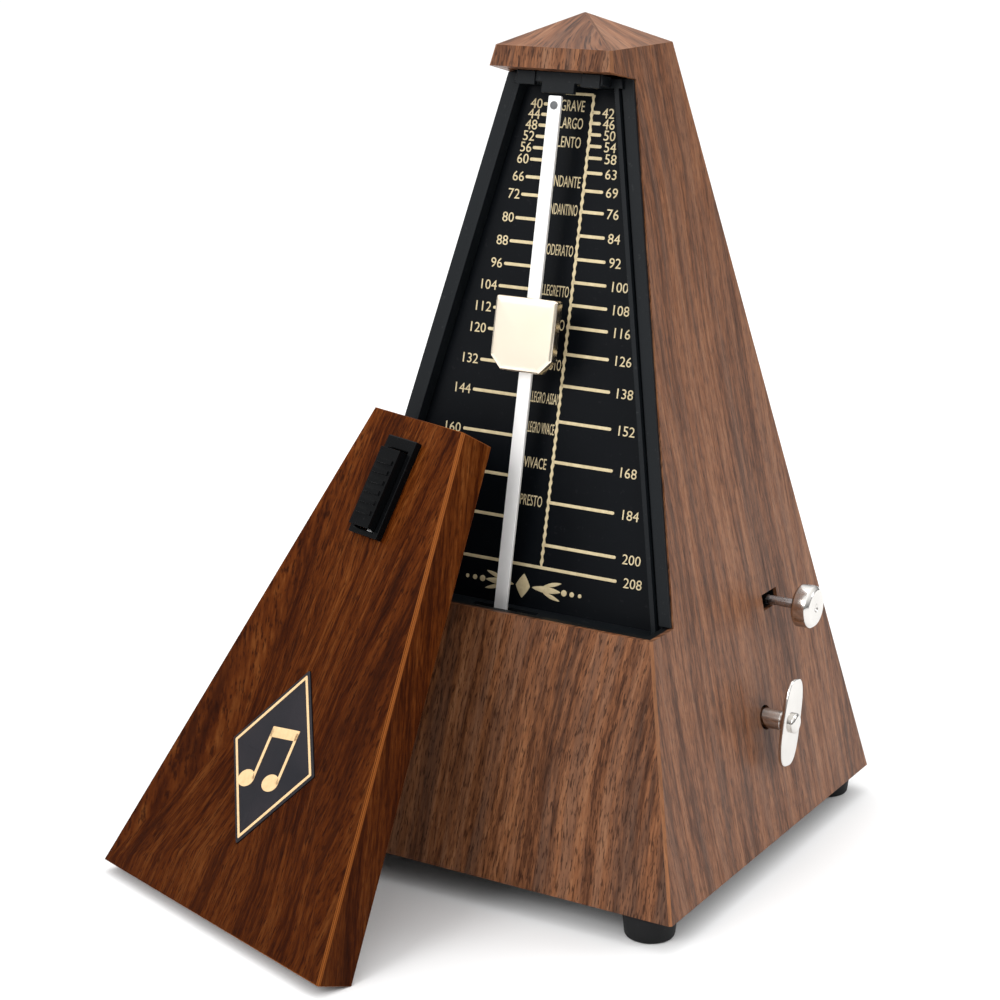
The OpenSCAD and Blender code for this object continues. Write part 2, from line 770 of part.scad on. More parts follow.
badge_w = 33;
badge_h = 45;
badge_y = 41.8;
latch_w = 10.8;
module cover_panel() color(walnut)
    lean_cover() difference() {
        intersection() {
            outer_tower();
            front_slab(cover_d, cover_low_z, 0.4);
        }
        intersection() {
            tower(cover_t);
            front_slab(cover_d + 5, cover_low_z + cover_t, 0.4 + cover_t);
        }
        on_front() translate([-3.8, 100.2, -8]) cube([7.6, 21, 10]);
        on_front() translate([0, badge_y, -0.5]) linear_extrude(1) rhomb(badge_w, badge_h);
    }

module rhomb(w, h) polygon([[-w / 2, 0], [0, -h / 2], [w / 2, 0], [0, h / 2]]);

module cover_badge() color("#10141c")
    lean_cover() on_front() translate([0, badge_y, -0.5]) linear_extrude(0.9)
        rhomb(badge_w - 0.1, badge_h - 0.1);

// Black surround of the latch, standing on the cover's face
module latch_plate() color(black)
    lean_cover() on_front() difference() {
        translate([-latch_w / 2, 98.8, 0]) cube([latch_w, 25.4, 2]);
        translate([-3.85, 100.2, -1]) cube([7.7, 20.9, 4]);
        translate([-latch_w, 90, -1]) cube([2 * latch_w, 98.8 + 1.2 - 90, 1]);
    }

button_w = 7.2;
button_back = cover_t + 0.4;
module latch_button() color(black)
    lean_cover() on_front() union() {
        translate([-button_w / 2, 100.5, -button_back]) cube([button_w, 20.1, 4.2 + button_back]);
        for (i = [0:5]) translate([-button_w / 2 + 0.9, 103.6 + i * 2.6, 4.2]) cube([button_w - 1.8, 1.1, 0.35]);
    }

// Hook behind the button that catches behind the bar under the cap
module latch_hook() color(black)
    lean_cover() on_front() union() {
        translate([-9, 112, -button_back - 0.8]) cube([18, 8.5, 0.8]);
        for (s = [-1, 1]) translate([s * 8 - 1, 118.5, -8.2]) cube([2, 2, 8.2 - button_back]);
    }

// Leaf spring that bridges the cover's inside behind the button
module latch_spring() color(steel)
    lean_cover() on_front() union() {
        translate([-7, 103.5, -4.7]) cube([14, 3, 0.3]);
        for (s = [-1, 1]) translate([s * 6.8 - 0.2, 103.5, -4.7]) cube([0.4, 3, 4.7 - cover_t]);
    }

case_shell();
base_plate();
feet();
base_screws();
bezel_frame();
scale_plate();
rod_clip();
movement_plate_right();
movement_plate_left();
movement_pillars();
pillar_nuts();
movement_rails();
front_bearing();
rear_bearing();
crown_cock();
bell_post();
bell();
bell_screw();
selector_click();
key_arbor();
ratchet_wheel();
winding_key();
great_wheel();
spring_barrel();
barrel_lid();
mainspring();
ratchet_click();
second_arbor();
second_pinion();
second_wheel();
crown_arbor();
crown_pinion();
crown_wheel();
beat_arbor();
beat_pinion();
beat_wheels();
hammer_arbor();
hammer_head();
hammer_lifter();
pendulum_rod();
pendulum_arbor();
pendulum_hub();
counterweight();
verge_pallets();
rod_rivet();
sliding_weight();
weight_clip();
selector_rod();
selector_knob();
selector_finger();
cover_panel();
cover_badge();
latch_plate();
latch_button();
latch_hook();
latch_spring();
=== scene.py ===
"""Finished looks of a pyramid metronome, from its walnut case to its clockwork, and a studio."""

import json
import logging
import math
from dataclasses import dataclass, field
from enum import Enum

import bmesh
import bpy
import numpy as np
from mathutils import Matrix, Vector

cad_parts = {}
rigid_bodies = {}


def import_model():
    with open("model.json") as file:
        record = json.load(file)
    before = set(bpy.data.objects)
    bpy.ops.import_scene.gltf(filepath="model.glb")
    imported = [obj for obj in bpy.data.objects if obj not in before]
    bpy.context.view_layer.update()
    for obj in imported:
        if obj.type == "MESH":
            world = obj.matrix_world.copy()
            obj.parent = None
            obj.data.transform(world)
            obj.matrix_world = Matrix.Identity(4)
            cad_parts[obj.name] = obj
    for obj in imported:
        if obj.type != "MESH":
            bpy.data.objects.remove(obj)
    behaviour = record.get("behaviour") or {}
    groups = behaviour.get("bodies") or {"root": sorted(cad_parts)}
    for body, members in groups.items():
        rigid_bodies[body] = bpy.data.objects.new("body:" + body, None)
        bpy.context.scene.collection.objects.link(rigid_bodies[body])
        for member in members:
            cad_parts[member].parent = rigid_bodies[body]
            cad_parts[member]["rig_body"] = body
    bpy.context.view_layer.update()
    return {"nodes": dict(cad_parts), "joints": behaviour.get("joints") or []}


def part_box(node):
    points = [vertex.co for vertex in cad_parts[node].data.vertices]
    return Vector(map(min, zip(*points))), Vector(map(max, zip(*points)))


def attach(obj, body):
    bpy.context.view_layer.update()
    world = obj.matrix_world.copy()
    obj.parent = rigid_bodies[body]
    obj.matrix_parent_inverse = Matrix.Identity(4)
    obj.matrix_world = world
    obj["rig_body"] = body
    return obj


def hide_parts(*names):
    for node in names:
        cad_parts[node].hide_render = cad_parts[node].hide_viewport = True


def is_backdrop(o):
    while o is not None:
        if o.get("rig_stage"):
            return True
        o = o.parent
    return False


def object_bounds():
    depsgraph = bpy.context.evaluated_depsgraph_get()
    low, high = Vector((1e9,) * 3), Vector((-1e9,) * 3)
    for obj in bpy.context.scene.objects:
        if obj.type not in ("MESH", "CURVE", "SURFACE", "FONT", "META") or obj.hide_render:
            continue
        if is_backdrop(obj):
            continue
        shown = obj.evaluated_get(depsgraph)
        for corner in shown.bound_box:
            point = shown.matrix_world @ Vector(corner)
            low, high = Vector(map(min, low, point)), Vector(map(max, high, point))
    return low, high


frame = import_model()

Array = np.ndarray
Socket = bpy.types.NodeSocket
Triple = tuple[float, float, float]
Colour = Triple
Value = Socket | float

# Points closer than MERGE metres are one point. The three angles are between neighbouring faces.
MM = 0.001
MERGE = 2e-6
FLAT = math.radians(0.5)
ROUNDED = math.radians(22)
CREASE = math.radians(32)
log = logging.getLogger("metronome")


class Body(Enum):
    """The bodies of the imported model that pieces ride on."""

    CASE = "case"
    COVER = "cover"
    PENDULUM = "pendulum"
    WEIGHT = "tempo_weight"
    SELECTOR = "selector"
    WINDING = "winding"


class Side(Enum):
    """A side of the scale, as the sign of X there."""

    LEFT = -1
    RIGHT = 1


# ---------- placing ----------


@dataclass(frozen=True)
class Placing:
    """A right-handed local frame: its origin in metres, and its X, Y and Z as the rows of axes."""

    origin: Array
    axes: Array

    def put(self, local: Array) -> Array:
        """Carry points from local millimetres to the row frame in metres.

        Args:
            local: points, one to a row.

        Returns:
            The same points in the row frame.
        """
        return self.origin + np.asarray(local, float) * MM @ self.axes

    def shifted(self, x: float, y: float, z: float = 0.0, turn: float = 0.0) -> "Placing":
        """Return this frame moved by local millimetres and turned about its Z by degrees."""
        a = math.radians(turn)
        spin = np.array([[math.cos(a), math.sin(a), 0], [-math.sin(a), math.cos(a), 0], [0, 0, 1]])
        return Placing(self.put(np.array([[x, y, z]]))[0], spin @ self.axes)


def joint_record(name: str) -> dict:
    """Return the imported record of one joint."""
    return next(j for j in frame["joints"] if j["name"] == name)


def leaning_frame(origin: Array, normal: Array) -> Placing:
    """Build a frame whose Z is a normal and whose Y runs up the slope.

    Args:
        origin: the origin in metres.
        normal: the direction of local Z.

    Returns:
        The frame, with local X level and Y as steep as it can be.
    """
    z = np.asarray(normal, float) / np.linalg.norm(normal)
    x = np.cross([0.0, 0.0, 1.0], z)
    x = x / np.linalg.norm(x)
    return Placing(np.asarray(origin, float), np.array([x, np.cross(z, x), z]))


def side_frame(node: str) -> Placing:
    """Return the frame at the middle of a node's low X side, whose Z is the row's X."""
    low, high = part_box(node)
    axes = np.array([[0.0, 1, 0], [0, 0, 1], [1, 0, 0]])
    return Placing(np.array([low.x, (low.y + high.y) / 2, (low.z + high.z) / 2]), axes)


# ---------- meshes ----------


def shaded(mesh: bpy.types.Mesh, name: str, crease: float = CREASE) -> bpy.types.Object:
    """Put a mesh into the scene, smooth but for the edges that turn by more than the crease.

    Args:
        mesh: the mesh.
        name: name of the object.
        crease: the angle.

    Returns:
        The new object.
    """
    mesh.shade_smooth()
    mesh.set_sharp_from_angle(angle=crease)
    piece = bpy.data.objects.new(name, mesh)
    bpy.context.scene.collection.objects.link(piece)
    return piece


@dataclass
class Shape:
    """Points in the row frame and the faces between them, gathered from several surfaces."""

    points: list[Array] = field(default_factory=list)
    faces: list[tuple[int, ...]] = field(default_factory=list)
    count: int = 0

    def add(self, points: Array, faces: list) -> "Shape":
        """Add a surface.

        Args:
            points: its points in the row frame.
            faces: its faces, as indices into those points.

        Returns:
            This shape.
        """
        self.faces += [tuple(int(i) + self.count for i in f) for f in faces]
        self.points.append(np.asarray(points, float))
        self.count += len(points)
        return self

    def loft(self, rings: Array, place: Placing, caps: bool = True) -> "Shape":
        """Skin a stack of closed rings, point (i, j) of the grid being point j of ring i.

        Args:
            rings: rings x points x 3 in local millimetres, anticlockwise from above, low to high.
            place: the frame that they are in.
            caps: whether each end is closed by a fan about the mean of its ring.

        Returns:
            This shape.
        """
        rows, cols = rings.shape[:2]
        i, j = np.meshgrid(np.arange(rows - 1), np.arange(cols), indexing="ij")
        k = (j + 1) % cols
        quads = np.stack([i * cols + j, i * cols + k, (i + 1) * cols + k, (i + 1) * cols + j], -1)
        points, faces = rings.reshape(-1, 3), quads.reshape(-1, 4).tolist()
        if caps:
            j = np.arange(cols)
            k = (j + 1) % cols
            top, n = (rows - 1) * cols, rows * cols
            points = np.vstack([points, rings[0].mean(0), rings[-1].mean(0)])
            faces += np.stack([k, j, np.full(cols, n)], -1).tolist()
            faces += np.stack([top + j, top + k, np.full(cols, n + 1)], -1).tolist()
        return self.add(place.put(points), faces)

    def make(self, name: str, crease: float = CREASE) -> bpy.types.Object:
        """Turn the shape into an object at the origin.

        Args:
            name: name of the piece.
            crease: edges that turn by more than this stay sharp.

        Returns:
            The new object.
        """
        mesh = bpy.data.meshes.new(name)
        mesh.from_pydata(np.vstack(self.points).tolist(), [], self.faces)
        mesh.validate()
        return shaded(mesh, name, crease)


@dataclass(frozen=True)
class Outline:
    """A convex outline whose corners are arcs, so that insets of it are exact."""

    corners: Array
    fillet: float
    arc: int = 6

    def ring(self, inset: float) -> Array:
        """Points of the outline brought in by inset.

        Each corner's arc keeps its centre, where the two edges shifted in by the fillet cross, and
        its radius is the fillet less the inset.

        Args:
            inset: millimetres inwards, no more than the fillet.

        Returns:
            The points, anticlockwise.
        """
        p = np.asarray(self.corners, float)
        edge = np.roll(p, -1, 0) - p
        edge /= np.linalg.norm(edge, axis=1)[:, None]
        after = np.stack([edge[:, 1], -edge[:, 0]], 1)
        before = np.roll(after, 1, 0)
        half = (before + after) / (1 + (before * after).sum(1))[:, None]
        centre = p - self.fillet * half
        start = np.arctan2(before[:, 1], before[:, 0])
        sweep = (np.arctan2(after[:, 1], after[:, 0]) - start) % (2 * math.pi)
        a = start[:, None] + sweep[:, None] * np.linspace(0, 1, self.arc)
        turn = np.stack([np.cos(a), np.sin(a)], -1)
        return (centre[:, None, :] + (self.fillet - inset) * turn).reshape(-1, 2)


@dataclass(frozen=True)
class Oval:
    """A superellipse outline: |x/a|^p + |y/b|^p = 1."""

    a: float
    b: float
    power: float = 2.0
    count: int = 64

    def ring(self, inset: float) -> Array:
        """Return the outline of the superellipse whose half axes are shorter by inset."""
        t = np.linspace(0, 2 * math.pi, self.count, endpoint=False)
        c, s = np.cos(t), np.sin(t)
        e = 2 / self.power
        return np.stack([
            (self.a - inset) * np.sign(c) * np.abs(c) ** e,
            (self.b - inset) * np.sign(s) * np.abs(s) ** e,
        ], 1)


def slab_rings(
    outline: Outline | Oval, low: float, high: float, edge: float, crown: float = 0.0
) -> Array:
    """Rings of a slab with rounded edges and a domed top.

    The rim's profile is a quarter circle of radius edge at each end of a straight wall. The top
    then shrinks towards its middle, rising as crown times one less the square of its size.

    Args:
        outline: the slab's outline.
        low: height of the bottom.
        high: height of the rim's top.
        edge: radius of the edges.
        crown: rise of the middle above the rim.

    Returns:
        Array of rings x points x 3.
    """
    a = np.linspace(0, math.pi / 2, 5)
    profile = [(edge * (1 - math.sin(t)), low + edge * (1 - math.cos(t))) for t in a]
    profile += [(edge * (1 - math.cos(t)), high - edge * (1 - math.sin(t))) for t in a]
    rings = [np.column_stack([r := outline.ring(i), np.full(len(r), h)]) for i, h in profile]
    rim = rings[-1]
    middle = rim.mean(0)
    for s in (0.85, 0.65, 0.4, 0.2) if crown else ():
        ring = middle + (rim - middle) * s
        ring[:, 2] = high + crown * (1 - s * s)
        rings.append(ring)
    return np.array(rings)


def turned_rings(profile: list[tuple[float, float]], count: int = 56) -> Array:
    """Rings of a turned shape, whose point (i, j) is at radius r_i, angle j and height h_i.

    Args:
        profile: pairs of radius and height.
        count: points to a ring.

    Returns:
        Array of rings x points x 3.
    """
    r, h = np.array(profile, float).T
    a = np.linspace(0, 2 * math.pi, count, endpoint=False)
    height = np.repeat(h[:, None], count, 1)
    return np.stack([np.outer(r, np.cos(a)), np.outer(r, np.sin(a)), height], -1)


def fillet_profile(corners: list[Triple], steps: int = 5) -> list[tuple[float, float]]:
    """Round the corners of a profile.

    Each corner is replaced by a quadratic curve that leaves and meets the two sides at its radius
    from the corner: (1-t)^2 A + 2t(1-t) P + t^2 B.

    Args:
        corners: radius, height and rounding of each corner.
        steps: points to a rounded corner.

    Returns:
        Pairs of radius and height.
    """
    p = np.array([c[:2] for c in corners], float)
    out: list[tuple[float, float]] = []
    for i, (r, h, f) in enumerate(corners):
        if f <= 0 or i in (0, len(corners) - 1):
            out.append((r, h))
            continue
        a = p[i] + (p[i - 1] - p[i]) / np.linalg.norm(p[i - 1] - p[i]) * f
        b = p[i] + (p[i + 1] - p[i]) / np.linalg.norm(p[i + 1] - p[i]) * f
        t = np.linspace(0, 1, steps)[:, None]
        out += [tuple(q) for q in (1 - t) ** 2 * a + 2 * t * (1 - t) * p[i] + t * t * b]
    return out


def settled(
    piece: bpy.types.Object, body: str, finish: bpy.types.Material, slot: str, *nodes: str
) -> None:
    """Give a whole piece one finish, ride it on a body and let it stand for CAD nodes.

    Args:
        piece: the piece.
        body: name of the body.
        finish: its material.
        slot: the record's material slot; not used.
        nodes: the nodes that it replaces, if any.
    """
    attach(piece, body)
    if nodes:
        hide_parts(*nodes)
    piece.data.materials.clear()
    piece.data.materials.append(finish)
    log.info("%s rides on %s for %s", piece.name, body, ", ".join(nodes) or "itself")


def softened(
    node: str, name: str, finish: bpy.types.Material, slot: str, width: float, longest: float = 2.5
) -> None:
    """Let a copy of a node stand for it, merged and with its long sharp edges rounded a little.

    Args:
        node: the node to copy.
        name: name of the piece.
        finish: its material.
        slot: the record's material slot.
        width: width of the rounding in millimetres.
        longest: edges shorter than this many millimetres stay as they are.
    """
    source = frame["nodes"][node]
    mesh = source.data.copy()
    mesh.name = name
    mesh.materials.clear()
    work = bmesh.new()
    work.from_mesh(mesh)
    bmesh.ops.remove_doubles(work, verts=work.verts, dist=MERGE)
    bmesh.ops.dissolve_limit(work, angle_limit=FLAT, verts=work.verts, edges=work.edges)
    weight = work.edges.layers.float.new("bevel_weight_edge")
    for e in work.edges:
        bends = e.is_manifold and e.calc_face_angle(0.0) > ROUNDED
        e[weight] = 1.0 if bends and e.calc_length() > longest * MM else 0.0
    work.to_mesh(mesh)
    work.free()
    piece = shaded(mesh, name)
    soft = piece.modifiers.new("rounding", "BEVEL")
    soft.limit_method = "WEIGHT"
    soft.width = width * MM
    soft.segments = 3
    soft.harden_normals = True
    settled(piece, source["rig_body"], finish, slot, node)


def dress_nodes(finish: bpy.types.Material, *nodes: str) -> None:
    """Assign a finish to every material slot of CAD nodes that stay.

    Args:
        finish: the material.
        nodes: names of the nodes.
    """
    for node in nodes:
        owner = frame["nodes"][node]
        if not owner.material_slots:
            owner.data.materials.append(finish)
        for cell in owner.material_slots:
            cell.material = finish
        log.info("%s keeps its own shape in %s", node, finish.name)


# ---------- finishes ----------


class Recipe:
    """Builds one node material around a Principled shader."""

    def __init__(self, name: str) -> None:
        """Start a material.

        Args:
            name: name of the material.
        """
        self.material = bpy.data.materials.new(name)
        self.material.use_nodes = True
        self.tree = self.material.node_tree
        self.shader = next(n for n in self.tree.nodes if n.type == "BSDF_PRINCIPLED")
        self.texture = self.tree.nodes.new("ShaderNodeTexCoord")

    def feed(self, socket: Socket, value: Value | tuple) -> None:
        """Link a socket into another, or set a plain value on it."""
        if isinstance(value, bpy.types.NodeSocket):
            self.tree.links.new(value, socket)
        elif isinstance(value, tuple) and len(value) == 3 and socket.type == "RGBA":
            socket.default_value = (*value, 1.0)
        else:
            socket.default_value = value

    def settle(self, **values: Value | tuple) -> "Recipe":
        """Set inputs of the shader, named with underscores for spaces.

        Args:
            values: the inputs.

        Returns:
            This recipe.
        """
        for name, value in values.items():
            self.feed(self.shader.inputs[name.replace("_", " ")], value)
        return self

    def node(self, kind: str, **inputs: Value | tuple) -> bpy.types.Node:
        """Add a node.

        Args:
            kind: its type, without the prefix of shader nodes.
            inputs: what to feed its inputs, named with underscores for spaces.

        Returns:
            The node.
        """
        node = self.tree.nodes.new("ShaderNode" + kind)
        for name, value in inputs.items():
            self.feed(node.inputs[name.replace("_", " ")], value)
        return node

    def place(
        self,
        scale: Triple,
        turn: Triple = (0, 0, 0),
        move: Triple = (0, 0, 0),
        vector: Socket | None = None,
    ) -> Socket:
        """Scale coordinates, turn them by degrees and move them; Object coordinates by default."""
        angles = tuple(math.radians(a) for a in turn)
        vector = vector or self.texture.outputs["Object"]
        node = self.node("Mapping", Vector=vector, Scale=scale, Rotation=angles, Location=move)
        return node.outputs["Vector"]

    def noise(
        self, vector: Socket, scale: float = 1.0, detail: float = 3.0, rough: float = 0.55
    ) -> Socket:
        """Noise about 0.5 at the given vector."""
        node = self.node("TexNoise", Vector=vector, Scale=scale, Detail=detail, Roughness=rough)
        return node.outputs["Fac"]

    def maths(self, kind: str, a: Value, b: Value = 0.0, c: Value = 0.0) -> Socket:
        """One Math node."""
        node = self.node("Math")
        node.operation = kind
        for socket, value in zip(node.inputs, (a, b, c)):
            self.feed(socket, value)
        return node.outputs[0]

    def vector(self, kind: str, a: Socket | tuple, b: Socket | tuple = (0, 0, 0)) -> Socket:
        """One Vector Math node, whose value is the output of a dot product."""
        node = self.node("VectorMath")
        node.operation = kind
        self.feed(node.inputs[0], a)
        self.feed(node.inputs[1], b)
        return node.outputs["Value" if kind == "DOT_PRODUCT" else "Vector"]

    def span(
        self, value: Socket, low: float, high: float, to_low: float = 0.0, to_high: float = 1.0
    ) -> Socket:
        """Map a value from one range to another, clamped."""
        node = self.node(
            "MapRange", Value=value, From_Min=low, From_Max=high, To_Min=to_low, To_Max=to_high)
        return node.outputs["Result"]

    def ramp(self, value: Socket, stops: list[tuple[float, Colour]]) -> Socket:
        """Colour by value, straight between the stops."""
        node = self.node("ValToRGB", Fac=value)
        cells = node.color_ramp.elements
        while len(cells) < len(stops):
            cells.new(1.0)
        for cell, (position, colour) in zip(cells, stops):
            cell.position = position
            cell.color = (*colour, 1.0)
        return node.outputs["Color"]

    def mix(self, factor: Value, a: Socket | Colour, b: Socket | Colour) -> Socket:
        """Mix two colours."""
        node = self.node("Mix")
        node.data_type = "RGBA"
        self.feed(node.inputs[0], factor)
        self.feed(node.inputs[6], a)
        self.feed(node.inputs[7], b)
        return node.outputs[2]

    def bump(self, height: Socket, strength: float, depth: float) -> Socket:
        """Bump from a height, its depth in millimetres."""
        node = self.node("Bump", Strength=strength, Distance=depth * MM, Height=height)
        return node.outputs["Normal"]


@dataclass(frozen=True)
class Strand:
    """Noise drawn out along the grain: cells to a metre across and along it, and an offset."""

    across: float
    along: float
    offset: Triple = (0.0, 0.0, 0.0)
    detail: float = 3.0
    rough: float = 0.55
    depth: float = 40.0

    def lay(self, r: Recipe, grain: Socket) -> Socket:
        """Return the noise on grain coordinates."""
        place = r.place((self.across, self.depth, self.along), move=self.offset, vector=grain)
        return r.noise(place, detail=self.detail, rough=self.rough)


BROAD = Strand(230, 7)
FINE = Strand(680, 40, (3.1, 1.7, 0.4))
HAIR = Strand(1900, 260, (7.7, 4.2, 1.3), 2)
VEIL = Strand(330, 14, (11.3, 2.9, 5.1))
PORES = Strand(2300, 330, (1.9, 8.8, 2.2), 2, 0.65)


@dataclass(frozen=True)
class WalnutFilm:
    """Printed walnut film on black mouldings, with bands, streaks and short pores up its walls."""

    name: str
    dark: Colour
    middle: Colour
    orange: Colour
    pale: Colour
    grey: Colour
    turn_z: float = 0.0
    turn_x: float = 0.0
    tilt: float = 0.0
    grey_share: float = 0.4
    # Painted glare: the share of grey laid on walls that face sideways.
    side_share: float = 0.0
    roughness: float = 0.36
    sheen: float = 0.2
    pore_share: float = 0.75
    # How much the rounded edges are lightened: a painted highlight, with some real wear of the
    # film.
    worn: float = 0.3
    # Painted shade: how much darker the colour is at the bottom of the piece, and the height where
    # that darkening ends.
    fade: float = 0.0
    fade_top: float = 0.17
    core: float = 0.0
    core_slope: float = 0.2252
    core_colour: Colour = (0.0045, 0.005, 0.0055)
    eave: float = 0.196
    sway: float = 0.012

    def axes(self, r: Recipe) -> tuple[Socket, Socket]:
        """Return the coordinates and the normal turned to the film's axes, Z up the piece."""
        place, facing = r.texture.outputs["Object"], r.texture.outputs["Normal"]
        for turn in ((0, 0, self.turn_z), (self.turn_x, 0, 0)):
            place, facing = (r.place((1, 1, 1), turn, vector=v) for v in (place, facing))
        return place, facing

    def grain(self, r: Recipe, place: Socket, facing: Socket, up: Socket, front: Socket) -> Socket:
        """Lay grain coordinates on the walls.

        X runs level across a wall, as place . (Z x facing), with a slow sway and a tilt on the
        front and back. Y is the same all over a wall and only tells the walls apart. Z runs up.

        Args:
            r: the recipe.
            place: the film's coordinates.
            facing: the normal in the film's axes.
            up: Z of place.
            front: one on walls that face along Y.

        Returns:
            The vector.
        """
        off_vertical = r.vector("ADD", facing, (0.001, 0.002, 0))
        level = r.vector("NORMALIZE", r.vector("CROSS_PRODUCT", (0, 0, 1), off_vertical))
        sway = r.maths("SUBTRACT", r.noise(r.place((14, 14, 9), vector=place), detail=1), 0.5)
        across = r.maths("MULTIPLY_ADD", sway, self.sway, r.vector("DOT_PRODUCT", place, level))
        across = r.maths("MULTIPLY_ADD", up, r.maths("MULTIPLY", front, self.tilt), across)
        wall = r.vector("DOT_PRODUCT", facing, (0.31, 0.17, 0.0))
        return r.node("CombineXYZ", X=across, Y=wall, Z=up).outputs["Vector"]

    def build(self) -> bpy.types.Material:
        """Return the material."""
        r = Recipe(self.name)
        place, facing = self.axes(r)
        split = r.node("SeparateXYZ", Vector=place)
        up = split.outputs["Z"]
        sideways = r.maths("ABSOLUTE", r.vector("DOT_PRODUCT", facing, (1, 0, 0)))
        front = r.span(sideways, 0.5, 0.85, 1.0, 0.0)
        side = r.maths("SUBTRACT", 1.0, front)
        grain = self.grain(r, place, facing, up, front)
        fine, hair = FINE.lay(r, grain), HAIR.lay(r, grain)
        tone = r.maths("MULTIPLY_ADD", fine, 0.34, r.maths("MULTIPLY", BROAD.lay(r, grain), 0.40))
        tone = r.maths("MULTIPLY_ADD", hair, 0.26, tone)
        stops = [(0.0, self.dark), (0.34, self.middle), (0.62, self.orange), (0.95, self.pale)]
        colour = r.ramp(r.span(tone, 0.345, 0.655), stops)
        veil = r.span(VEIL.lay(r, grain), 0.44, 0.62, 0.0, self.grey_share)
        # Painted glare: walls that face sideways get a grey veil, standing in for light glancing
        # off them.
        side_glare = r.maths("MULTIPLY", side, r.span(fine, 0.4, 0.6, 0.0, self.side_share))
        colour = r.mix(r.maths("MAXIMUM", veil, side_glare), colour, self.grey)
        pores = r.span(PORES.lay(r, grain), 0.53, 0.64)
        # Painted glare too: pores show less on walls that face sideways.
        shown = r.span(side, 0.0, 1.0, self.pore_share, self.pore_share * 0.6)
        colour = r.mix(r.maths("MULTIPLY", pores, shown), colour, tuple(c * 0.6 for c in self.dark))
        # Painted shade: the colour is darkened towards the bottom of the piece, most at its foot
        # and none above a given height.
        if self.fade:
            colour = r.mix(r.span(up, 0.0, self.fade_top, self.fade, 0.0), colour, self.dark)
        # Painted highlight with some wear: edges between walls are mixed towards a colour paler
        # than the palest grain.
        bevel = r.span(sideways, 0.72, 0.94, self.worn, 0.0)
        edge = r.maths("MULTIPLY", r.span(sideways, 0.12, 0.45), bevel)
        colour = r.mix(edge, colour, tuple(c * 1.5 for c in self.pale))
        if self.core:
            colour = r.mix(self.outside(r, split), self.core_colour, colour)
        r.settle(
            Base_Color=colour,
            Roughness=r.span(tone, 0.35, 0.65, self.roughness + 0.09, self.roughness),
            Normal=r.bump(r.maths("MULTIPLY_ADD", pores, -0.8, hair), 0.22, 0.08),
            Specular_IOR_Level=self.sheen,
        )
        return r.material

    def outside(self, r: Recipe, split: bpy.types.Node) -> Socket:
        """Tell the film from the moulding behind it.

        Args:
            r: the recipe.
            split: node with the film's coordinates.

        Returns:
            One on the film and above the eave, and zero where the larger of |x| and |y| is inside
            the core's leaning walls.
        """
        x, y, up = (split.outputs[axis] for axis in "XYZ")
        out = r.maths("MAXIMUM", r.maths("ABSOLUTE", x), r.maths("ABSOLUTE", y))
        out = r.maths("MULTIPLY_ADD", up, self.core_slope, out)
        edges = ((out, self.core), (up, self.eave))
        return r.maths("MAXIMUM", *(r.span(value, low - 0.2 * MM, low) for value, low in edges))


@dataclass(frozen=True)
class MouldedBlack:
    """Moulded black plastic or rubber, finely grained, with faint flow marks and paler specks."""

    name: str
    colour: Colour
    dust: Colour
    roughness: float = 0.42
    grain: float = 2400.0
    depth: float = 0.03
    sheen: float = 0.3

    def build(self) -> bpy.types.Material:
        """Return the material."""
        r = Recipe(self.name)
        fine = r.noise(r.place((1, 1, 1)), self.grain, 2)
        flow = r.noise(r.place((60, 60, 22)), 1, 4)
        specks = r.span(r.noise(r.place((1, 1, 1)), 900, 2), 0.66, 0.74, 0.0, 0.5)
        colour = r.mix(r.span(flow, 0.3, 0.7), self.colour, tuple(c * 1.35 for c in self.colour))
        r.settle(
            Base_Color=r.mix(specks, colour, self.dust),
            Roughness=r.span(flow, 0.3, 0.7, self.roughness - 0.05, self.roughness + 0.07),
            Normal=r.bump(fine, 0.35, self.depth),
            Specular_IOR_Level=self.sheen,
        )
        return r.material


@dataclass(frozen=True)
class Metal:
    """Metal with marks drawn along one axis and a slow change of tone."""

    name: str
    colour: Colour
    worn: Colour
    roughness: float = 0.2
    marks: Triple = (900.0, 900.0, 900.0)
    turn: Triple = (0.0, 0.0, 0.0)
    depth: float = 0.01
    spread: float = 0.1
    metallic: float = 1.0

    def build(self) -> bpy.types.Material:
        """Return the material."""
        r = Recipe(self.name)
        drawn = r.noise(r.place(self.marks, self.turn), 1, 3)
        slow = r.noise(r.place((70, 70, 70)), 1, 3)
        both = r.maths("ADD", r.maths("MULTIPLY", drawn, 0.5), r.maths("MULTIPLY", slow, 0.5))
        r.settle(
            Base_Color=r.mix(r.span(slow, 0.35, 0.7), self.colour, self.worn),
            Metallic=self.metallic,
            Roughness=r.span(both, 0.35, 0.65, self.roughness, self.roughness + self.spread),
            Normal=r.bump(drawn, 0.3, self.depth),
        )
        return r.material


@dataclass(frozen=True)
class PrintInk:
    """Pale gold screen ink, a little uneven where it lies."""

    name: str
    colour: Colour
    thin: Colour

    def build(self) -> bpy.types.Material:
        """Return the material."""
        r = Recipe(self.name)
        patch = r.noise(r.place((700, 700, 700)), 1, 3)
        r.settle(
            Base_Color=r.mix(r.span(patch, 0.35, 0.75), self.colour, self.thin),
            Roughness=r.span(patch, 0.3, 0.7, 0.42, 0.6),
            Normal=r.bump(patch, 0.2, 0.02),
            Specular_IOR_Level=0.3,
        )
        return r.material


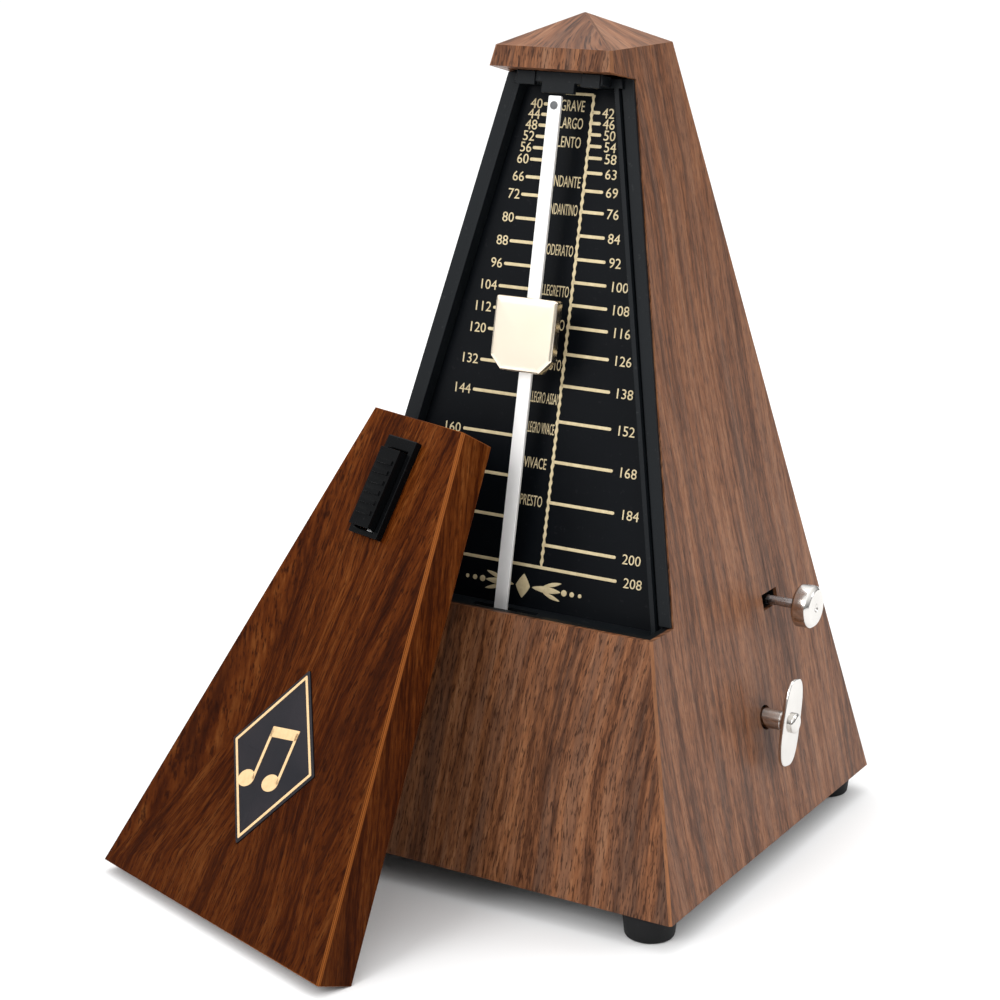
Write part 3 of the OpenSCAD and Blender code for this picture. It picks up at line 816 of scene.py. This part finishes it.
class Finishes:
    """Every finish of the metronome, built once."""

    def __init__(self) -> None:
        """Build the materials."""
        rod_turn = (11.3, 0, 0)
        self.case = WalnutFilm(
            "walnut_film_case", dark=(0.028, 0.0083, 0.0030), middle=(0.103, 0.0370, 0.0150),
            orange=(0.220, 0.084, 0.034), pale=(0.32, 0.145, 0.068), grey=(0.145, 0.084, 0.058),
            side_share=0.18, tilt=-0.08, core=0.05998, sheen=0.16).build()
        self.cover = WalnutFilm(
            "walnut_film_cover", dark=(0.0160, 0.0024, 0.0001), middle=(0.056, 0.0105, 0.0009),
            orange=(0.132, 0.03, 0.0036), pale=(0.235, 0.072, 0.015), grey=(0.09, 0.028, 0.007),
            turn_z=18.0, turn_x=18.1, grey_share=0.15, sheen=0.035, fade=0.55, worn=0.6).build()
        self.black = MouldedBlack(
            "moulded_black", (0.0050, 0.0065, 0.0080), (0.03, 0.032, 0.034), sheen=0.15).build()
        self.gloss = MouldedBlack(
            "gloss_black", (0.0025, 0.0028, 0.0032), (0.012, 0.012, 0.012), 0.22, 3000, 0.01,
            0.07).build()
        self.scale = MouldedBlack(
            "scale_enamel", (0.0020, 0.0028, 0.0040), (0.012, 0.012, 0.014), 0.38, 3600, 0.008,
            0.08).build()
        self.rubber = MouldedBlack(
            "foot_rubber", (0.006, 0.0062, 0.0068), (0.02, 0.019, 0.018), 0.62, 1500, 0.06,
            0.2).build()
        self.ink = PrintInk("gold_ink", (0.72, 0.60, 0.37), (0.58, 0.47, 0.27)).build()
        self.motif = PrintInk("badge_gold", (0.80, 0.56, 0.30), (0.70, 0.47, 0.24)).build()
        self.nickel = Metal(
            "polished_nickel", (0.74, 0.72, 0.69), (0.64, 0.62, 0.59), 0.10, (1400, 300, 300),
            spread=0.08).build()
        self.rod = Metal(
            "drawn_steel_strip", (0.94, 0.93, 0.915), (0.89, 0.88, 0.865), 0.34, (2600, 2600, 40),
            rod_turn, 0.004, metallic=0.22).build()
        self.steel = Metal(
            "turned_steel", (0.52, 0.52, 0.53), (0.42, 0.42, 0.43), 0.22, (2200, 400, 400)).build()
        self.brass = Metal(
            "rolled_brass", (0.78, 0.56, 0.24), (0.66, 0.45, 0.18), 0.24, (900, 1600, 160)).build()
        self.champagne = Metal(
            "champagne_plate", (0.95, 0.85, 0.70), (0.92, 0.80, 0.64), 0.2, (2600, 2600, 60),
            rod_turn, 0.003, 0.06).build()
        self.iron = Metal(
            "cast_iron", (0.16, 0.165, 0.17), (0.11, 0.11, 0.115), 0.5, (500, 500, 500), depth=0.12,
            spread=0.2, metallic=0.7).build()
        self.bell = Metal(
            "bell_metal", (0.80, 0.79, 0.76), (0.70, 0.68, 0.64), 0.12, (1800, 240, 240)).build()
        # Dark blue steel for the mainspring; on the latch spring it is painted shade.
        self.spring = Metal(
            "blued_spring_and_painted_shade", (0.06, 0.09, 0.20), (0.10, 0.08, 0.14), 0.25, (300, 1200, 1200)).build()
        self.badge = Metal(
            "badge_foil", (0.01, 0.01, 0.015), (0.016, 0.013, 0.018), 0.34, (1800, 1800, 300),
            metallic=0.4).build()


# ---------- case ----------


@dataclass
class Case:
    """Walnut pyramid with its base, feet and catch bar."""

    finishes: Finishes
    edge: float = 0.42
    foot_low: float = 6.0
    foot_high: float = 6.7
    foot_edge: float = 0.9

    def build(self) -> None:
        """Build and dress the case."""
        f = self.finishes
        softened("case_shell", "case_walls", f.case, "walnut_case", self.edge)
        softened("rod_clip", "catch_bar", f.black, "black_plastic", 0.25, 0.9)
        softened("base_plate", "base_panel", f.black, "black_plastic", 0.3)
        settled(self.feet(), Body.CASE.value, f.rubber, "rubber_feet", "feet")
        dress_nodes(f.steel, "base_screws")

    def feet(self) -> bpy.types.Object:
        """Turn the four feet, each a cone with rounded rims and a sunk ring round its sole."""
        low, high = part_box("feet")
        h = (high.z - low.z) / MM
        inset = self.foot_high * MM
        profile = fillet_profile([
            (0.6, 0.9, 0), (self.foot_low - 2.4, 0.9, 0.4), (self.foot_low - 2.0, 0.0, 0.4),
            (self.foot_low, 0.0, self.foot_edge), (self.foot_high, h - 0.9, 0.5),
            (self.foot_high - 0.3, h, 0.3), (self.foot_high - 2, h, 0)])
        shape = Shape()
        for x in (low.x + inset, high.x - inset):
            for y in (low.y + inset, high.y - inset):
                shape.loft(turned_rings(profile, 48), Placing(np.array([x, y, low.z]), np.eye(3)))
        return shape.make("rubber_feet")


# ---------- window ----------


@dataclass
class Window:
    """Black frame, scale plate and everything printed on the plate."""

    finishes: Finishes
    line: float = 0.78
    raise_: float = 0.06
    sunk: float = -0.02
    print_edge: float = 0.03
    digit: float = 2.4
    pitch: float = 1.72
    word: float = 2.7
    rope: float = 0.72
    beat_gain: float = 2.962e6
    beat_reach: float = 149.35
    beat_inertia: float = 8145.0
    beat_shift: float = 11.867
    lowest: int = 40
    highest: int = 208
    thick: float = 0.8
    lip: float = 70.3
    forward: float = 12.5
    headroom: float = 2.9
    steps: tuple = ((2, 60), (3, 72), (4, 120), (6, 144), (8, 208))

    def __post_init__(self) -> None:
        """Lay a frame on the plate's face: Y up the plate from its lower edge."""
        low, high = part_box("scale_plate")
        run = np.array([0.0, high.y - low.y, high.z - low.z])
        lean = math.atan2(run[1], run[2]) - math.asin(self.thick * MM / np.linalg.norm(run))
        normal = np.array([0.0, -math.cos(lean), math.sin(lean)])
        self.place = leaning_frame([0.0, low.y, low.z], normal)
        self.base = (low.z / MM - self.lip) / math.cos(lean) + self.forward * math.tan(lean)

    def height(self, tempo: float) -> float:
        """Where the weight sets a tempo, up the plate.

        The tempo squared is gain * (reach - s) / (inertia + s^2) for a weight at s above the pivot,
        so s is the positive root of n^2 s^2 + gain s + n^2 inertia - gain reach = 0.

        Args:
            tempo: beats a minute.

        Returns:
            Millimetres up the plate from the window's lip.
        """
        n2, gain = tempo * tempo, self.beat_gain
        root = math.sqrt(gain ** 2 - 4 * n2 * (n2 * self.beat_inertia - gain * self.beat_reach))
        return (root - gain) / (2 * n2) - self.beat_shift

    def on_plate(self, x: float, y: float) -> Placing:
        """Return the plate's frame moved to x and to y above the window's lip."""
        return self.place.shifted(x, y - self.base)

    def tempos(self) -> list[int]:
        """Return the marked tempos, whose steps widen as the beat quickens."""
        marks = [self.lowest]
        for step, top in self.steps:
            while marks[-1] < top:
                marks.append(marks[-1] + step)
        return marks

    def left_end(self, y: float) -> float:
        """Return where a left line begins, on a straight line down the plate."""
        return 0.1502 * y - 26.2

    def right_end(self, y: float) -> float:
        """Return where a right line ends, on a straight line down the plate."""
        return 29.7 - 0.1758 * y

    def rope_at(self, y: float) -> float:
        """Return where the ladder's upright stands at y."""
        return 6.87 - 0.0073 * y

    def ink(self, shape: Shape, outline: Outline | Oval, place: Placing) -> None:
        """Add a printed patch."""
        shape.loft(slab_rings(outline, self.sunk, self.raise_, self.print_edge), place)

    def bar(self, shape: Shape, x0: float, x1: float, y: float, wide: float) -> None:
        """Add a level bar with round ends.

        Args:
            shape: what to add it to.
            x0: its left end.
            x1: its right end.
            y: its middle height.
            wide: its width.
        """
        a, b = (x1 - x0) / 2, wide / 2
        corners = np.array([[-a, -b], [a, -b], [a, b], [-a, b]])
        self.ink(shape, Outline(corners, b, 5), self.on_plate((x0 + x1) / 2, y))

    def lines(self) -> bpy.types.Object:
        """Print the tempo lines, left and right by turns."""
        shape = Shape()
        for i, tempo in enumerate(self.tempos()):
            y = self.height(tempo)
            if tempo == self.highest:
                self.bar(shape, self.left_end(y), self.right_end(y), y, self.line)
            elif i % 2 == 0:
                self.bar(shape, self.left_end(y), -3.4, y, self.line)
            else:
                self.bar(shape, self.rope_at(y), self.right_end(y), y, self.line)
        top = self.height(self.lowest) + self.headroom
        self.bar(shape, -2.0, self.rope_at(top), top, self.line * 0.85)
        return shape.make("tempo_lines")

    def upright(self) -> bpy.types.Object:
        """Print the ladder's upright.

        It is a band whose left edge is x - w/2 + a sin(p y) and whose right edge is
        x + w/2 + a sin(p y + 2), so it looks lightly twisted.
        """
        low, high = self.height(self.highest), self.height(self.lowest) + self.headroom
        y = np.linspace(low, high, 420)
        x = self.rope_at(y)
        phase = y * (2 * math.pi / 2.14)
        left = x - self.rope / 2 + 0.13 * np.sin(phase)
        right = x + self.rope / 2 + 0.13 * np.sin(phase + 2)
        flat = np.concatenate([np.column_stack([right, y]), np.column_stack([left, y])[::-1]])
        n = len(y)
        levels = [np.column_stack([flat, np.full(2 * n, h)]) for h in (self.sunk, self.raise_)]
        points = self.place.put(np.vstack(levels) - [0, self.base, 0])
        j = np.arange(n - 1)
        top = np.stack([2 * n + j, 2 * n + j + 1, 4 * n - 2 - j, 4 * n - 1 - j], -1)
        k = np.arange(2 * n)
        walls = np.stack([k, (k + 1) % (2 * n), (k + 1) % (2 * n) + 2 * n, k + 2 * n], -1)
        return Shape().add(points, top.tolist() + walls.tolist()).make("ladder_upright")

    def glyphs(self, text: str) -> tuple[Array, list]:
        """Turn text into a solid of unit thickness whose middle is at the origin.

        Args:
            text: what it says.

        Returns:
            Its points and its faces.
        """
        curve = bpy.data.curves.new("letters", "FONT")
        curve.body = text
        curve.resolution_u = 3
        curve.extrude = 0.5
        holder = bpy.data.objects.new("letters", curve)
        bpy.context.scene.collection.objects.link(holder)
        graph = bpy.context.evaluated_depsgraph_get()
        mesh = bpy.data.meshes.new_from_object(holder.evaluated_get(graph))
        bpy.data.objects.remove(holder)
        points = np.empty(len(mesh.vertices) * 3, np.float32)
        mesh.vertices.foreach_get("co", points)
        points = points.reshape(-1, 3).astype(float)
        faces = [tuple(p.vertices) for p in mesh.polygons]
        bpy.data.meshes.remove(mesh)
        return points - (points.min(0) + points.max(0)) / 2, faces

    def letter(
        self, shape: Shape, text: str, x: float, y: float, tall: float, wide: float = 0.0
    ) -> None:
        """Add a word or a digit at a height.

        Args:
            shape: what to add it to.
            text: what it says.
            x: its middle.
            y: its middle height.
            tall: its height.
            wide: its width, or zero to keep its own proportions.
        """
        points, faces = self.glyphs(text)
        size = np.ptp(points, axis=0)
        up = tall / size[1]
        stretch = [wide / size[0] if wide else up, up, self.raise_]
        shape.add(self.on_plate(x, y).put(points * stretch), faces)

    def numbers(self) -> bpy.types.Object:
        """Print the number of every tempo beside its line, its digits in cells of one width."""
        shape = Shape()
        for i, tempo in enumerate(self.tempos()):
            y = self.height(tempo)
            text = str(tempo)
            gap = 0.35 + (tempo - self.lowest) / (self.highest - self.lowest)
            side = Side.LEFT if i % 2 == 0 and tempo != self.highest else Side.RIGHT
            if side is Side.LEFT:
                start = self.left_end(y) - gap * 0.6 - self.pitch * len(text)
            else:
                start = self.right_end(y) + gap * 1.3
            for k, digit in enumerate(text):
                self.letter(shape, digit, start + self.pitch * (k + 0.5), y, self.digit)
        return shape.make("tempo_numbers")

    def words(self) -> bpy.types.Object:
        """Print the names of the tempos, narrow, between the rod and the ladder."""
        named = {
            "GRAVE": 40, "LARGO": 46.5, "LENTO": 53.2, "ANDANTE": 66.5, "ANDANTINO": 75.8,
            "MODERATO": 89.5, "ALLEGRETTO": 103.6, "ALLEGRO": 115.6, "CON MOTO": 130.5,
            "ALLEGRO ASSAI": 143.6, "ALLEGRO VIVACE": 155.5, "VIVACE": 169.5, "PRESTO": 184.3,
        }
        shape = Shape()
        for word, tempo in named.items():
            y = self.height(tempo)
            middle = 0.5 + 0.0135 * (self.height(self.lowest) - y)
            wide = min((0.95 + 0.003 * y) * len(word), 8.6)
            self.letter(shape, word, middle, y, self.word, wide)
        return shape.make("tempo_words")

    def ornament(self) -> bpy.types.Object:
        """Print a plain flourish under the scale: a lozenge between tapering leaves and beads."""
        shape = Shape()
        x0, y0 = 2.3, self.height(self.highest) - 5.2
        leaves = ((6.6, 0.0, 4.0, 0.85, 0), (8.2, 1.5, 2.5, 0.5, 16), (8.2, -1.5, 2.5, 0.5, -16))
        self.ink(shape, Oval(2.0, 3.0, 1.15), self.on_plate(x0, y0))
        for side in Side:
            s = side.value
            for dx, rise, a, b, tilt in leaves:
                place = self.on_plate(x0 + s * dx, y0 + rise).shifted(0, 0, 0, s * tilt)
                self.ink(shape, Oval(a, b, 1.5, 40), place)
            for i, r in enumerate((0.78, 0.64, 0.5)):
                self.ink(shape, Oval(r, r, 2, 20), self.on_plate(x0 + s * (11.6 + 2.2 * i), y0))
        return shape.make("scale_flourish")

    def build(self) -> None:
        """Build and dress the window."""
        softened("bezel_frame", "window_frame", self.finishes.black, "black_plastic", 0.16, 1.2)
        dress_nodes(self.finishes.scale, "scale_plate")
        for piece in (self.lines(), self.upright(), self.numbers(), self.words(), self.ornament()):
            settled(piece, Body.CASE.value, self.finishes.ink, "scale_black")


# ---------- pendulum ----------


@dataclass
class Pendulum:
    """Flat rod with its rivet, and the plated weight that slides on it."""

    finishes: Finishes
    rod_wide: float = 3.5
    rod_thick: float = 0.9
    above: float = 135.1
    below: float = 40.0
    rivet_drop: float = 2.3
    weight_wide: float = 17.0
    weight_tall: float = 18.0
    weight_low: float = 68.6
    weight_face: float = 3.9
    notch: tuple[float, float] = (3.1, 3.3)

    def __post_init__(self) -> None:
        """Lay a frame on the rod's plane: Y up the rod from its pivot, Z forwards."""
        joint = joint_record("pendulum_swing")
        axis = np.array(joint["axis"], float)
        self.place = leaning_frame(joint["pos_m"], axis if axis[1] < 0 else -axis)

    def rod(self) -> bpy.types.Object:
        """Make the rod: a rectangle's outline with rounded edges, carried through its thickness."""
        a = self.rod_wide / 2
        corners = np.array([[-a, -self.below], [a, -self.below], [a, self.above], [-a, self.above]])
        t = self.rod_thick / 2
        rings = slab_rings(Outline(corners, 0.35, 5), -t, t, 0.12)
        return Shape().loft(rings, self.place).make("rod_strip")

    def rivet(self) -> bpy.types.Object:
        """Make the rivet near the rod's tip: a low dome in a thin ring."""
        profile = fillet_profile([
            (0.3, -0.5, 0), (0.9, -0.5, 0.2), (0.9, 0.5, 0.1), (1.0, 0.5, 0.1), (1.0, 0.72, 0.1),
            (0.7, 0.72, 0.1), (0.55, 0.6, 0.05), (0.1, 0.66, 0)])
        place = self.place.shifted(0, self.above - self.rivet_drop)
        return Shape().loft(turned_rings(profile, 32), place).make("tip_rivet")

    def weight(self) -> bpy.types.Object:
        """Make the weight, with clipped lower corners, a rounded rim and a slightly domed face."""
        a, h = self.weight_wide / 2, self.weight_tall
        cut, up = self.notch
        corners = np.array([[-a + cut, 0], [a - cut, 0], [a, up], [a, h], [-a, h], [-a, up]])
        low = self.rod_thick / 2 + 0.1
        rings = slab_rings(Outline(corners, 0.75, 6), low, self.weight_face - 0.12, 0.65, 0.1)
        shape = Shape().loft(rings, self.place.shifted(0, self.weight_low))
        return shape.make("tempo_weight_block", math.radians(40))

    def build(self) -> None:
        """Build and dress the pendulum."""
        f, swings = self.finishes, Body.PENDULUM.value
        settled(self.rod(), swings, f.rod, "rod_steel", "pendulum_rod")
        settled(self.rivet(), swings, f.iron, "polished_nickel", "rod_rivet")
        settled(self.weight(), Body.WEIGHT.value, f.champagne, "champagne_weight", "sliding_weight")
        dress_nodes(f.champagne, "weight_clip")
        dress_nodes(f.steel, "pendulum_arbor", "verge_pallets")
        dress_nodes(f.brass, "pendulum_hub")
        dress_nodes(f.iron, "counterweight")


# ---------- winding key and beat selector ----------


@dataclass
class Winding:
    """Polished key on the winding arbor."""

    finishes: Finishes
    hub: float = 2.5
    boss: float = 2.6
    blade_long: float = 22.4
    blade_wide: float = 10.0
    blade_thick: float = 1.1
    blade_turn: float = 11.0
    blade_out: float = 9.2

    def key(self) -> bpy.types.Object:
        """Make the key: a turned hub, a flat oval blade across it and a domed boss on its face."""
        base = side_frame("winding_key")
        centre = joint_record("key_wind")["pos_m"][1:]
        place = Placing(np.array([base.origin[0], *centre]), base.axes)
        out, r, b, t = self.blade_out, self.hub, self.boss, self.blade_thick
        hub = fillet_profile([
            (r - 0.4, 0, 0), (r, 0, 0.25), (r, out - 1.6, 0.1), (r - 0.1, out - 1.5, 0.05),
            (r - 0.1, out - 1.2, 0.05), (r, out - 1.1, 0.1), (r, out + 0.5, 0)])
        boss = fillet_profile([
            (b - 0.3, out + t - 0.4, 0), (b, out + t, 0), (b, out + t + 0.95, 0.3),
            (b - 0.6, out + t + 1.4, 0.4), (0.9, out + t + 1.58, 0.3), (0.2, out + t + 1.6, 0)])
        shape = Shape().loft(turned_rings(hub), place).loft(turned_rings(boss), place)
        outline = Oval(self.blade_wide / 2, self.blade_long / 2, 3.0, 88)
        rings = slab_rings(outline, out, out + t, 0.3)
        shape.loft(rings, place.shifted(0, 0, 0, -self.blade_turn))
        return shape.make("key_polished")

    def build(self) -> None:
        """Build and dress the key and its arbor."""
        f = self.finishes
        settled(self.key(), Body.WINDING.value, f.nickel, "polished_nickel", "winding_key")
        dress_nodes(f.steel, "key_arbor", "ratchet_wheel")


@dataclass
class Selector:
    """Pull rod with its knob, which sets how often the bell rings."""

    finishes: Finishes
    rod: float = 1.2
    reach: float = 82.6
    knob: float = 5.5
    knob_long: float = 5.8
    grooves: int = 5
    groove_first: float = 35.2
    groove_step: float = 2.4

    def stem(self) -> bpy.types.Object:
        """Turn the rod, a plain stem with rings inside the case that its click drops into."""
        profile = [(0.5, 0.0), (self.rod, 0.3)]
        for i in range(self.grooves):
            x = self.groove_first + i * self.groove_step
            profile += [(self.rod, x - 0.5), (self.rod - 0.22, x), (self.rod, x + 0.5)]
        profile += [(self.rod, self.reach - 0.2), (0.6, self.reach)]
        shape = Shape().loft(turned_rings(profile, 32), side_frame("selector_rod"))
        return shape.make("selector_stem")

    def head(self) -> bpy.types.Object:
        """Turn the knob: a neck, a chamfered rim and a face with a small dimple."""
        r, h = self.knob, self.knob_long
        profile = fillet_profile([
            (1.3, 0.0, 0), (2.4, 0.0, 0.2), (2.4, 0.8, 0.15), (r - 0.8, 0.8, 0.2), (r, 1.4, 0.3),
            (r, h - 0.95, 0.3), (r - 0.9, h - 0.05, 0.3), (1.15, h, 0.15), (0.75, h - 0.45, 0.2),
            (0.1, h - 0.5, 0)])
        shape = Shape().loft(turned_rings(profile, 72), side_frame("selector_knob"))
        return shape.make("knob_polished")

    def build(self) -> None:
        """Build and dress the selector."""
        f, slides = self.finishes, Body.SELECTOR.value
        settled(self.stem(), slides, f.steel, "polished_nickel", "selector_rod")
        settled(self.head(), slides, f.nickel, "polished_nickel", "selector_knob")
        dress_nodes(f.brass, "selector_finger")


# ---------- cover ----------


@dataclass
class Cover:
    """Lift-off cover with its badge and latch."""

    finishes: Finishes
    edge: float = 0.42
    badge_wide: float = 33.0
    badge_tall: float = 45.0
    line_in: float = 0.85
    line: float = 0.72

    def __post_init__(self) -> None:
        """Lay a frame on the cover's face at the middle of its badge."""
        low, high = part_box("cover_badge")
        normal = -np.array(joint_record("latch_press")["axis"], float)
        middle = np.array([(low[i] + high[i]) / 2 for i in range(3)])
        self.place = leaning_frame(middle + normal * 0.05 * MM, normal)

    def lozenge(self, inset: float, fillet: float) -> Outline:
        """Return the badge's outline brought in by inset, with rounded corners."""
        a, b = self.badge_wide / 2, self.badge_tall / 2
        share = 1 - inset * math.hypot(1 / a, 1 / b)
        return Outline(np.array([[0, -b], [a, 0], [0, b], [-a, 0]]) * share, fillet, 5)

    def badge(self) -> bpy.types.Object:
        """Make the badge: a thin dark lozenge with rounded edges."""
        rings = slab_rings(self.lozenge(0.1, 0.4), -0.5, 0.2, 0.12)
        return Shape().loft(rings, self.place).make("badge_plate")

    def motif(self) -> bpy.types.Object:
        """Make the pale line round the badge and a pair of joined quavers in its middle."""
        shape = Shape()
        outer, inner = self.lozenge(self.line_in, 0.25), self.lozenge(self.line_in + self.line, 0.1)
        levels = [(outer, 0.15), (outer, 0.26), (inner, 0.26), (inner, 0.15)]
        rings = np.array([np.column_stack([r := o.ring(0), np.full(len(r), h)]) for o, h in levels])
        shape.loft(rings, self.place, False)
        low, high, round_ = 0.15, 0.29, 0.05
        for x in (-4.4, 4.4):
            rise = x * 0.16
            head = slab_rings(Oval(2.9, 2.1, 2, 48), low, high, round_)
            shape.loft(head, self.place.shifted(x - 1.5, rise - 6.6, 0, 24))
            stem = np.array([[-0.45, -6.3], [0.45, -6.3], [0.45, 6.8], [-0.45, 6.8]])
            stalk = slab_rings(Outline(stem, 0.2, 4), low, high, round_)
            shape.loft(stalk, self.place.shifted(x + 0.8, rise))
        beam = np.array([[-4.05, 4.0], [5.65, 5.55], [5.65, 8.2], [-4.05, 6.65]])
        shape.loft(slab_rings(Outline(beam, 0.2, 4), low, high, round_), self.place)
        return shape.make("badge_quavers")

    def build(self) -> None:
        """Build and dress the cover."""
        f, lifts = self.finishes, Body.COVER.value
        softened("cover_panel", "cover_walls", f.cover, "walnut_cover", self.edge)
        settled(self.badge(), lifts, f.badge, "badge_foil", "cover_badge")
        settled(self.motif(), lifts, f.motif, "badge_foil")
        softened("latch_plate", "latch_surround", f.gloss, "black_plastic", 0.3, 1.0)
        softened("latch_button", "latch_key", f.gloss, "black_plastic", 0.12, 0.9)
        dress_nodes(f.black, "latch_hook")
        # Painted shade: the latch spring is dark so that it stays dark in its gap under the button.
        dress_nodes(f.spring, "latch_spring")


# ---------- movement ----------


@dataclass
class Movement:
    """The clockwork, whose CAD shapes stay and take their metals."""

    finishes: Finishes

    def build(self) -> None:
        """Dress the movement."""
        f = self.finishes
        dress_nodes(
            f.brass, "movement_plate_right", "movement_plate_left", "front_bearing", "rear_bearing",
            "crown_cock", "great_wheel", "spring_barrel", "barrel_lid", "second_wheel",
            "crown_wheel", "beat_wheels", "hammer_head")
        dress_nodes(
            f.steel, "movement_pillars", "pillar_nuts", "bell_post", "bell_screw",
            "selector_click", "ratchet_click", "second_arbor", "second_pinion", "crown_arbor",
            "crown_pinion", "beat_arbor", "beat_pinion", "hammer_arbor", "hammer_lifter")
        dress_nodes(f.black, "movement_rails")
        dress_nodes(f.bell, "bell")
        dress_nodes(f.spring, "mainspring")


# ---------- studio ----------


@dataclass
class Studio:
    """Pale floor, soft light and the camera."""

    azimuth: float = 31.016
    elevation: float = 15.724
    roll: float = 0.290
    distance: float = 0.61431
    target: Triple = (-0.02342, 0.0, 0.08371)
    lens: float = 84.60
    floor_half: float = 9.0
    tones: tuple = ((0.04, 0.10), (0.30, 0.50), (0.75, 1.25))
    glow: float = 1.15

    def camera(self) -> None:
        """Place the camera on a sphere about its target and roll it a little."""
        az, el, roll = (math.radians(a) for a in (self.azimuth, self.elevation, self.roll))
        back = Vector((math.sin(az) * math.cos(el), -math.cos(az) * math.cos(el), math.sin(el)))
        level = Vector((math.cos(az), math.sin(az), 0))
        upright = back.cross(level)
        right = level * math.cos(roll) + upright * math.sin(roll)
        up = upright * math.cos(roll) - level * math.sin(roll)
        eye = Vector(self.target) + back * self.distance
        data = bpy.data.cameras.new("camera")
        data.lens = self.lens
        data.clip_start = 0.01
        data.clip_end = 60
        camera = bpy.data.objects.new("camera", data)
        turn = Matrix((right, up, back)).transposed()
        camera.matrix_world = Matrix.Translation(eye) @ turn.to_4x4()
        bpy.context.scene.collection.objects.link(camera)
        bpy.context.scene.camera = camera

    def floor(self) -> None:
        """Lay a pale matt floor."""
        a = self.floor_half
        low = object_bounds()[0][2]
        mesh = bpy.data.meshes.new("floor")
        corners = [(-a, -a, low), (a, -a, low), (a, a, low), (-a, a, low)]
        mesh.from_pydata(corners, [], [(0, 1, 2, 3)])
        floor = bpy.data.objects.new("floor", mesh)
        bpy.context.scene.collection.objects.link(floor)
        r = Recipe("pale_floor")
        tint = r.noise(r.place((3, 3, 3)), 1, 2)
        r.settle(Base_Color=r.mix(tint, (0.90, 0.90, 0.90), (0.93, 0.93, 0.93)), Roughness=0.85,
                 Specular_IOR_Level=0.1)
        mesh.materials.append(r.material)
        floor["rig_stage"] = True

    def lamp(self, name: str, spot: Triple, size: tuple[float, float], power: float) -> None:
        """Hang a rectangular soft light that faces the object.

        Args:
            name: its name.
            spot: where it hangs.
            size: its width and height.
            power: its power in watts.
        """
        data = bpy.data.lights.new(name, "AREA")
        data.shape = "RECTANGLE"
        data.size, data.size_y = size
        data.energy = power
        lamp = bpy.data.objects.new(name, data)
        aim = Vector((0, 0, 0.1)) - Vector(spot)
        turn = aim.to_track_quat("-Z", "Y").to_matrix()
        lamp.matrix_world = Matrix.Translation(spot) @ turn.to_4x4()
        bpy.context.scene.collection.objects.link(lamp)

    def sky(self) -> None:
        """Light from all round: bright overhead and dimmer towards the horizon."""
        world = bpy.data.worlds.new("soft_room")
        world.use_nodes = True
        tree = world.node_tree
        where = tree.nodes.new("ShaderNodeTexCoord")
        split = tree.nodes.new("ShaderNodeSeparateXYZ")
        ramp = tree.nodes.new("ShaderNodeValToRGB")
        ramp.color_ramp.elements.new(0.5)
        for cell, (spot, tone) in zip(ramp.color_ramp.elements, self.tones):
            cell.position = spot
            cell.color = (tone, tone, tone, 1)
        tree.links.new(where.outputs["Generated"], split.inputs[0])
        tree.links.new(split.outputs["Z"], ramp.inputs["Fac"])
        back = next(n for n in tree.nodes if n.type == "BACKGROUND")
        tree.links.new(ramp.outputs["Color"], back.inputs["Color"])
        back.inputs["Strength"].default_value = self.glow
        bpy.context.scene.world = world

    def build(self) -> None:
        """Set the studio up."""
        self.camera()
        self.floor()
        self.sky()
        self.lamp("right_softbox", (1.3, 0.75, 0.75), (0.45, 0.45), 4.5)
        self.lamp("front_softbox", (-0.5, -1.7, 1.2), (0.9, 0.9), 13.5)
        self.lamp("top_softbox", (-0.3, 0.4, 1.9), (1.2, 1.2), 6)
        self.lamp("low_softbox", (-1.0, -1.68, 0.37), (1.4, 0.9), 2.9)
        bpy.context.scene.view_settings.view_transform = "Standard"


def main() -> None:
    """Build the metronome's looks, piece by piece."""
    logging.basicConfig(level=logging.INFO, format="%(name)s: %(message)s")
    finishes = Finishes()
    for part in (Case, Window, Pendulum, Winding, Selector, Cover, Movement):
        log.info("building %s", part.__name__)
        part(finishes).build()
    Studio().build()


if __name__ == "__main__":
    main()
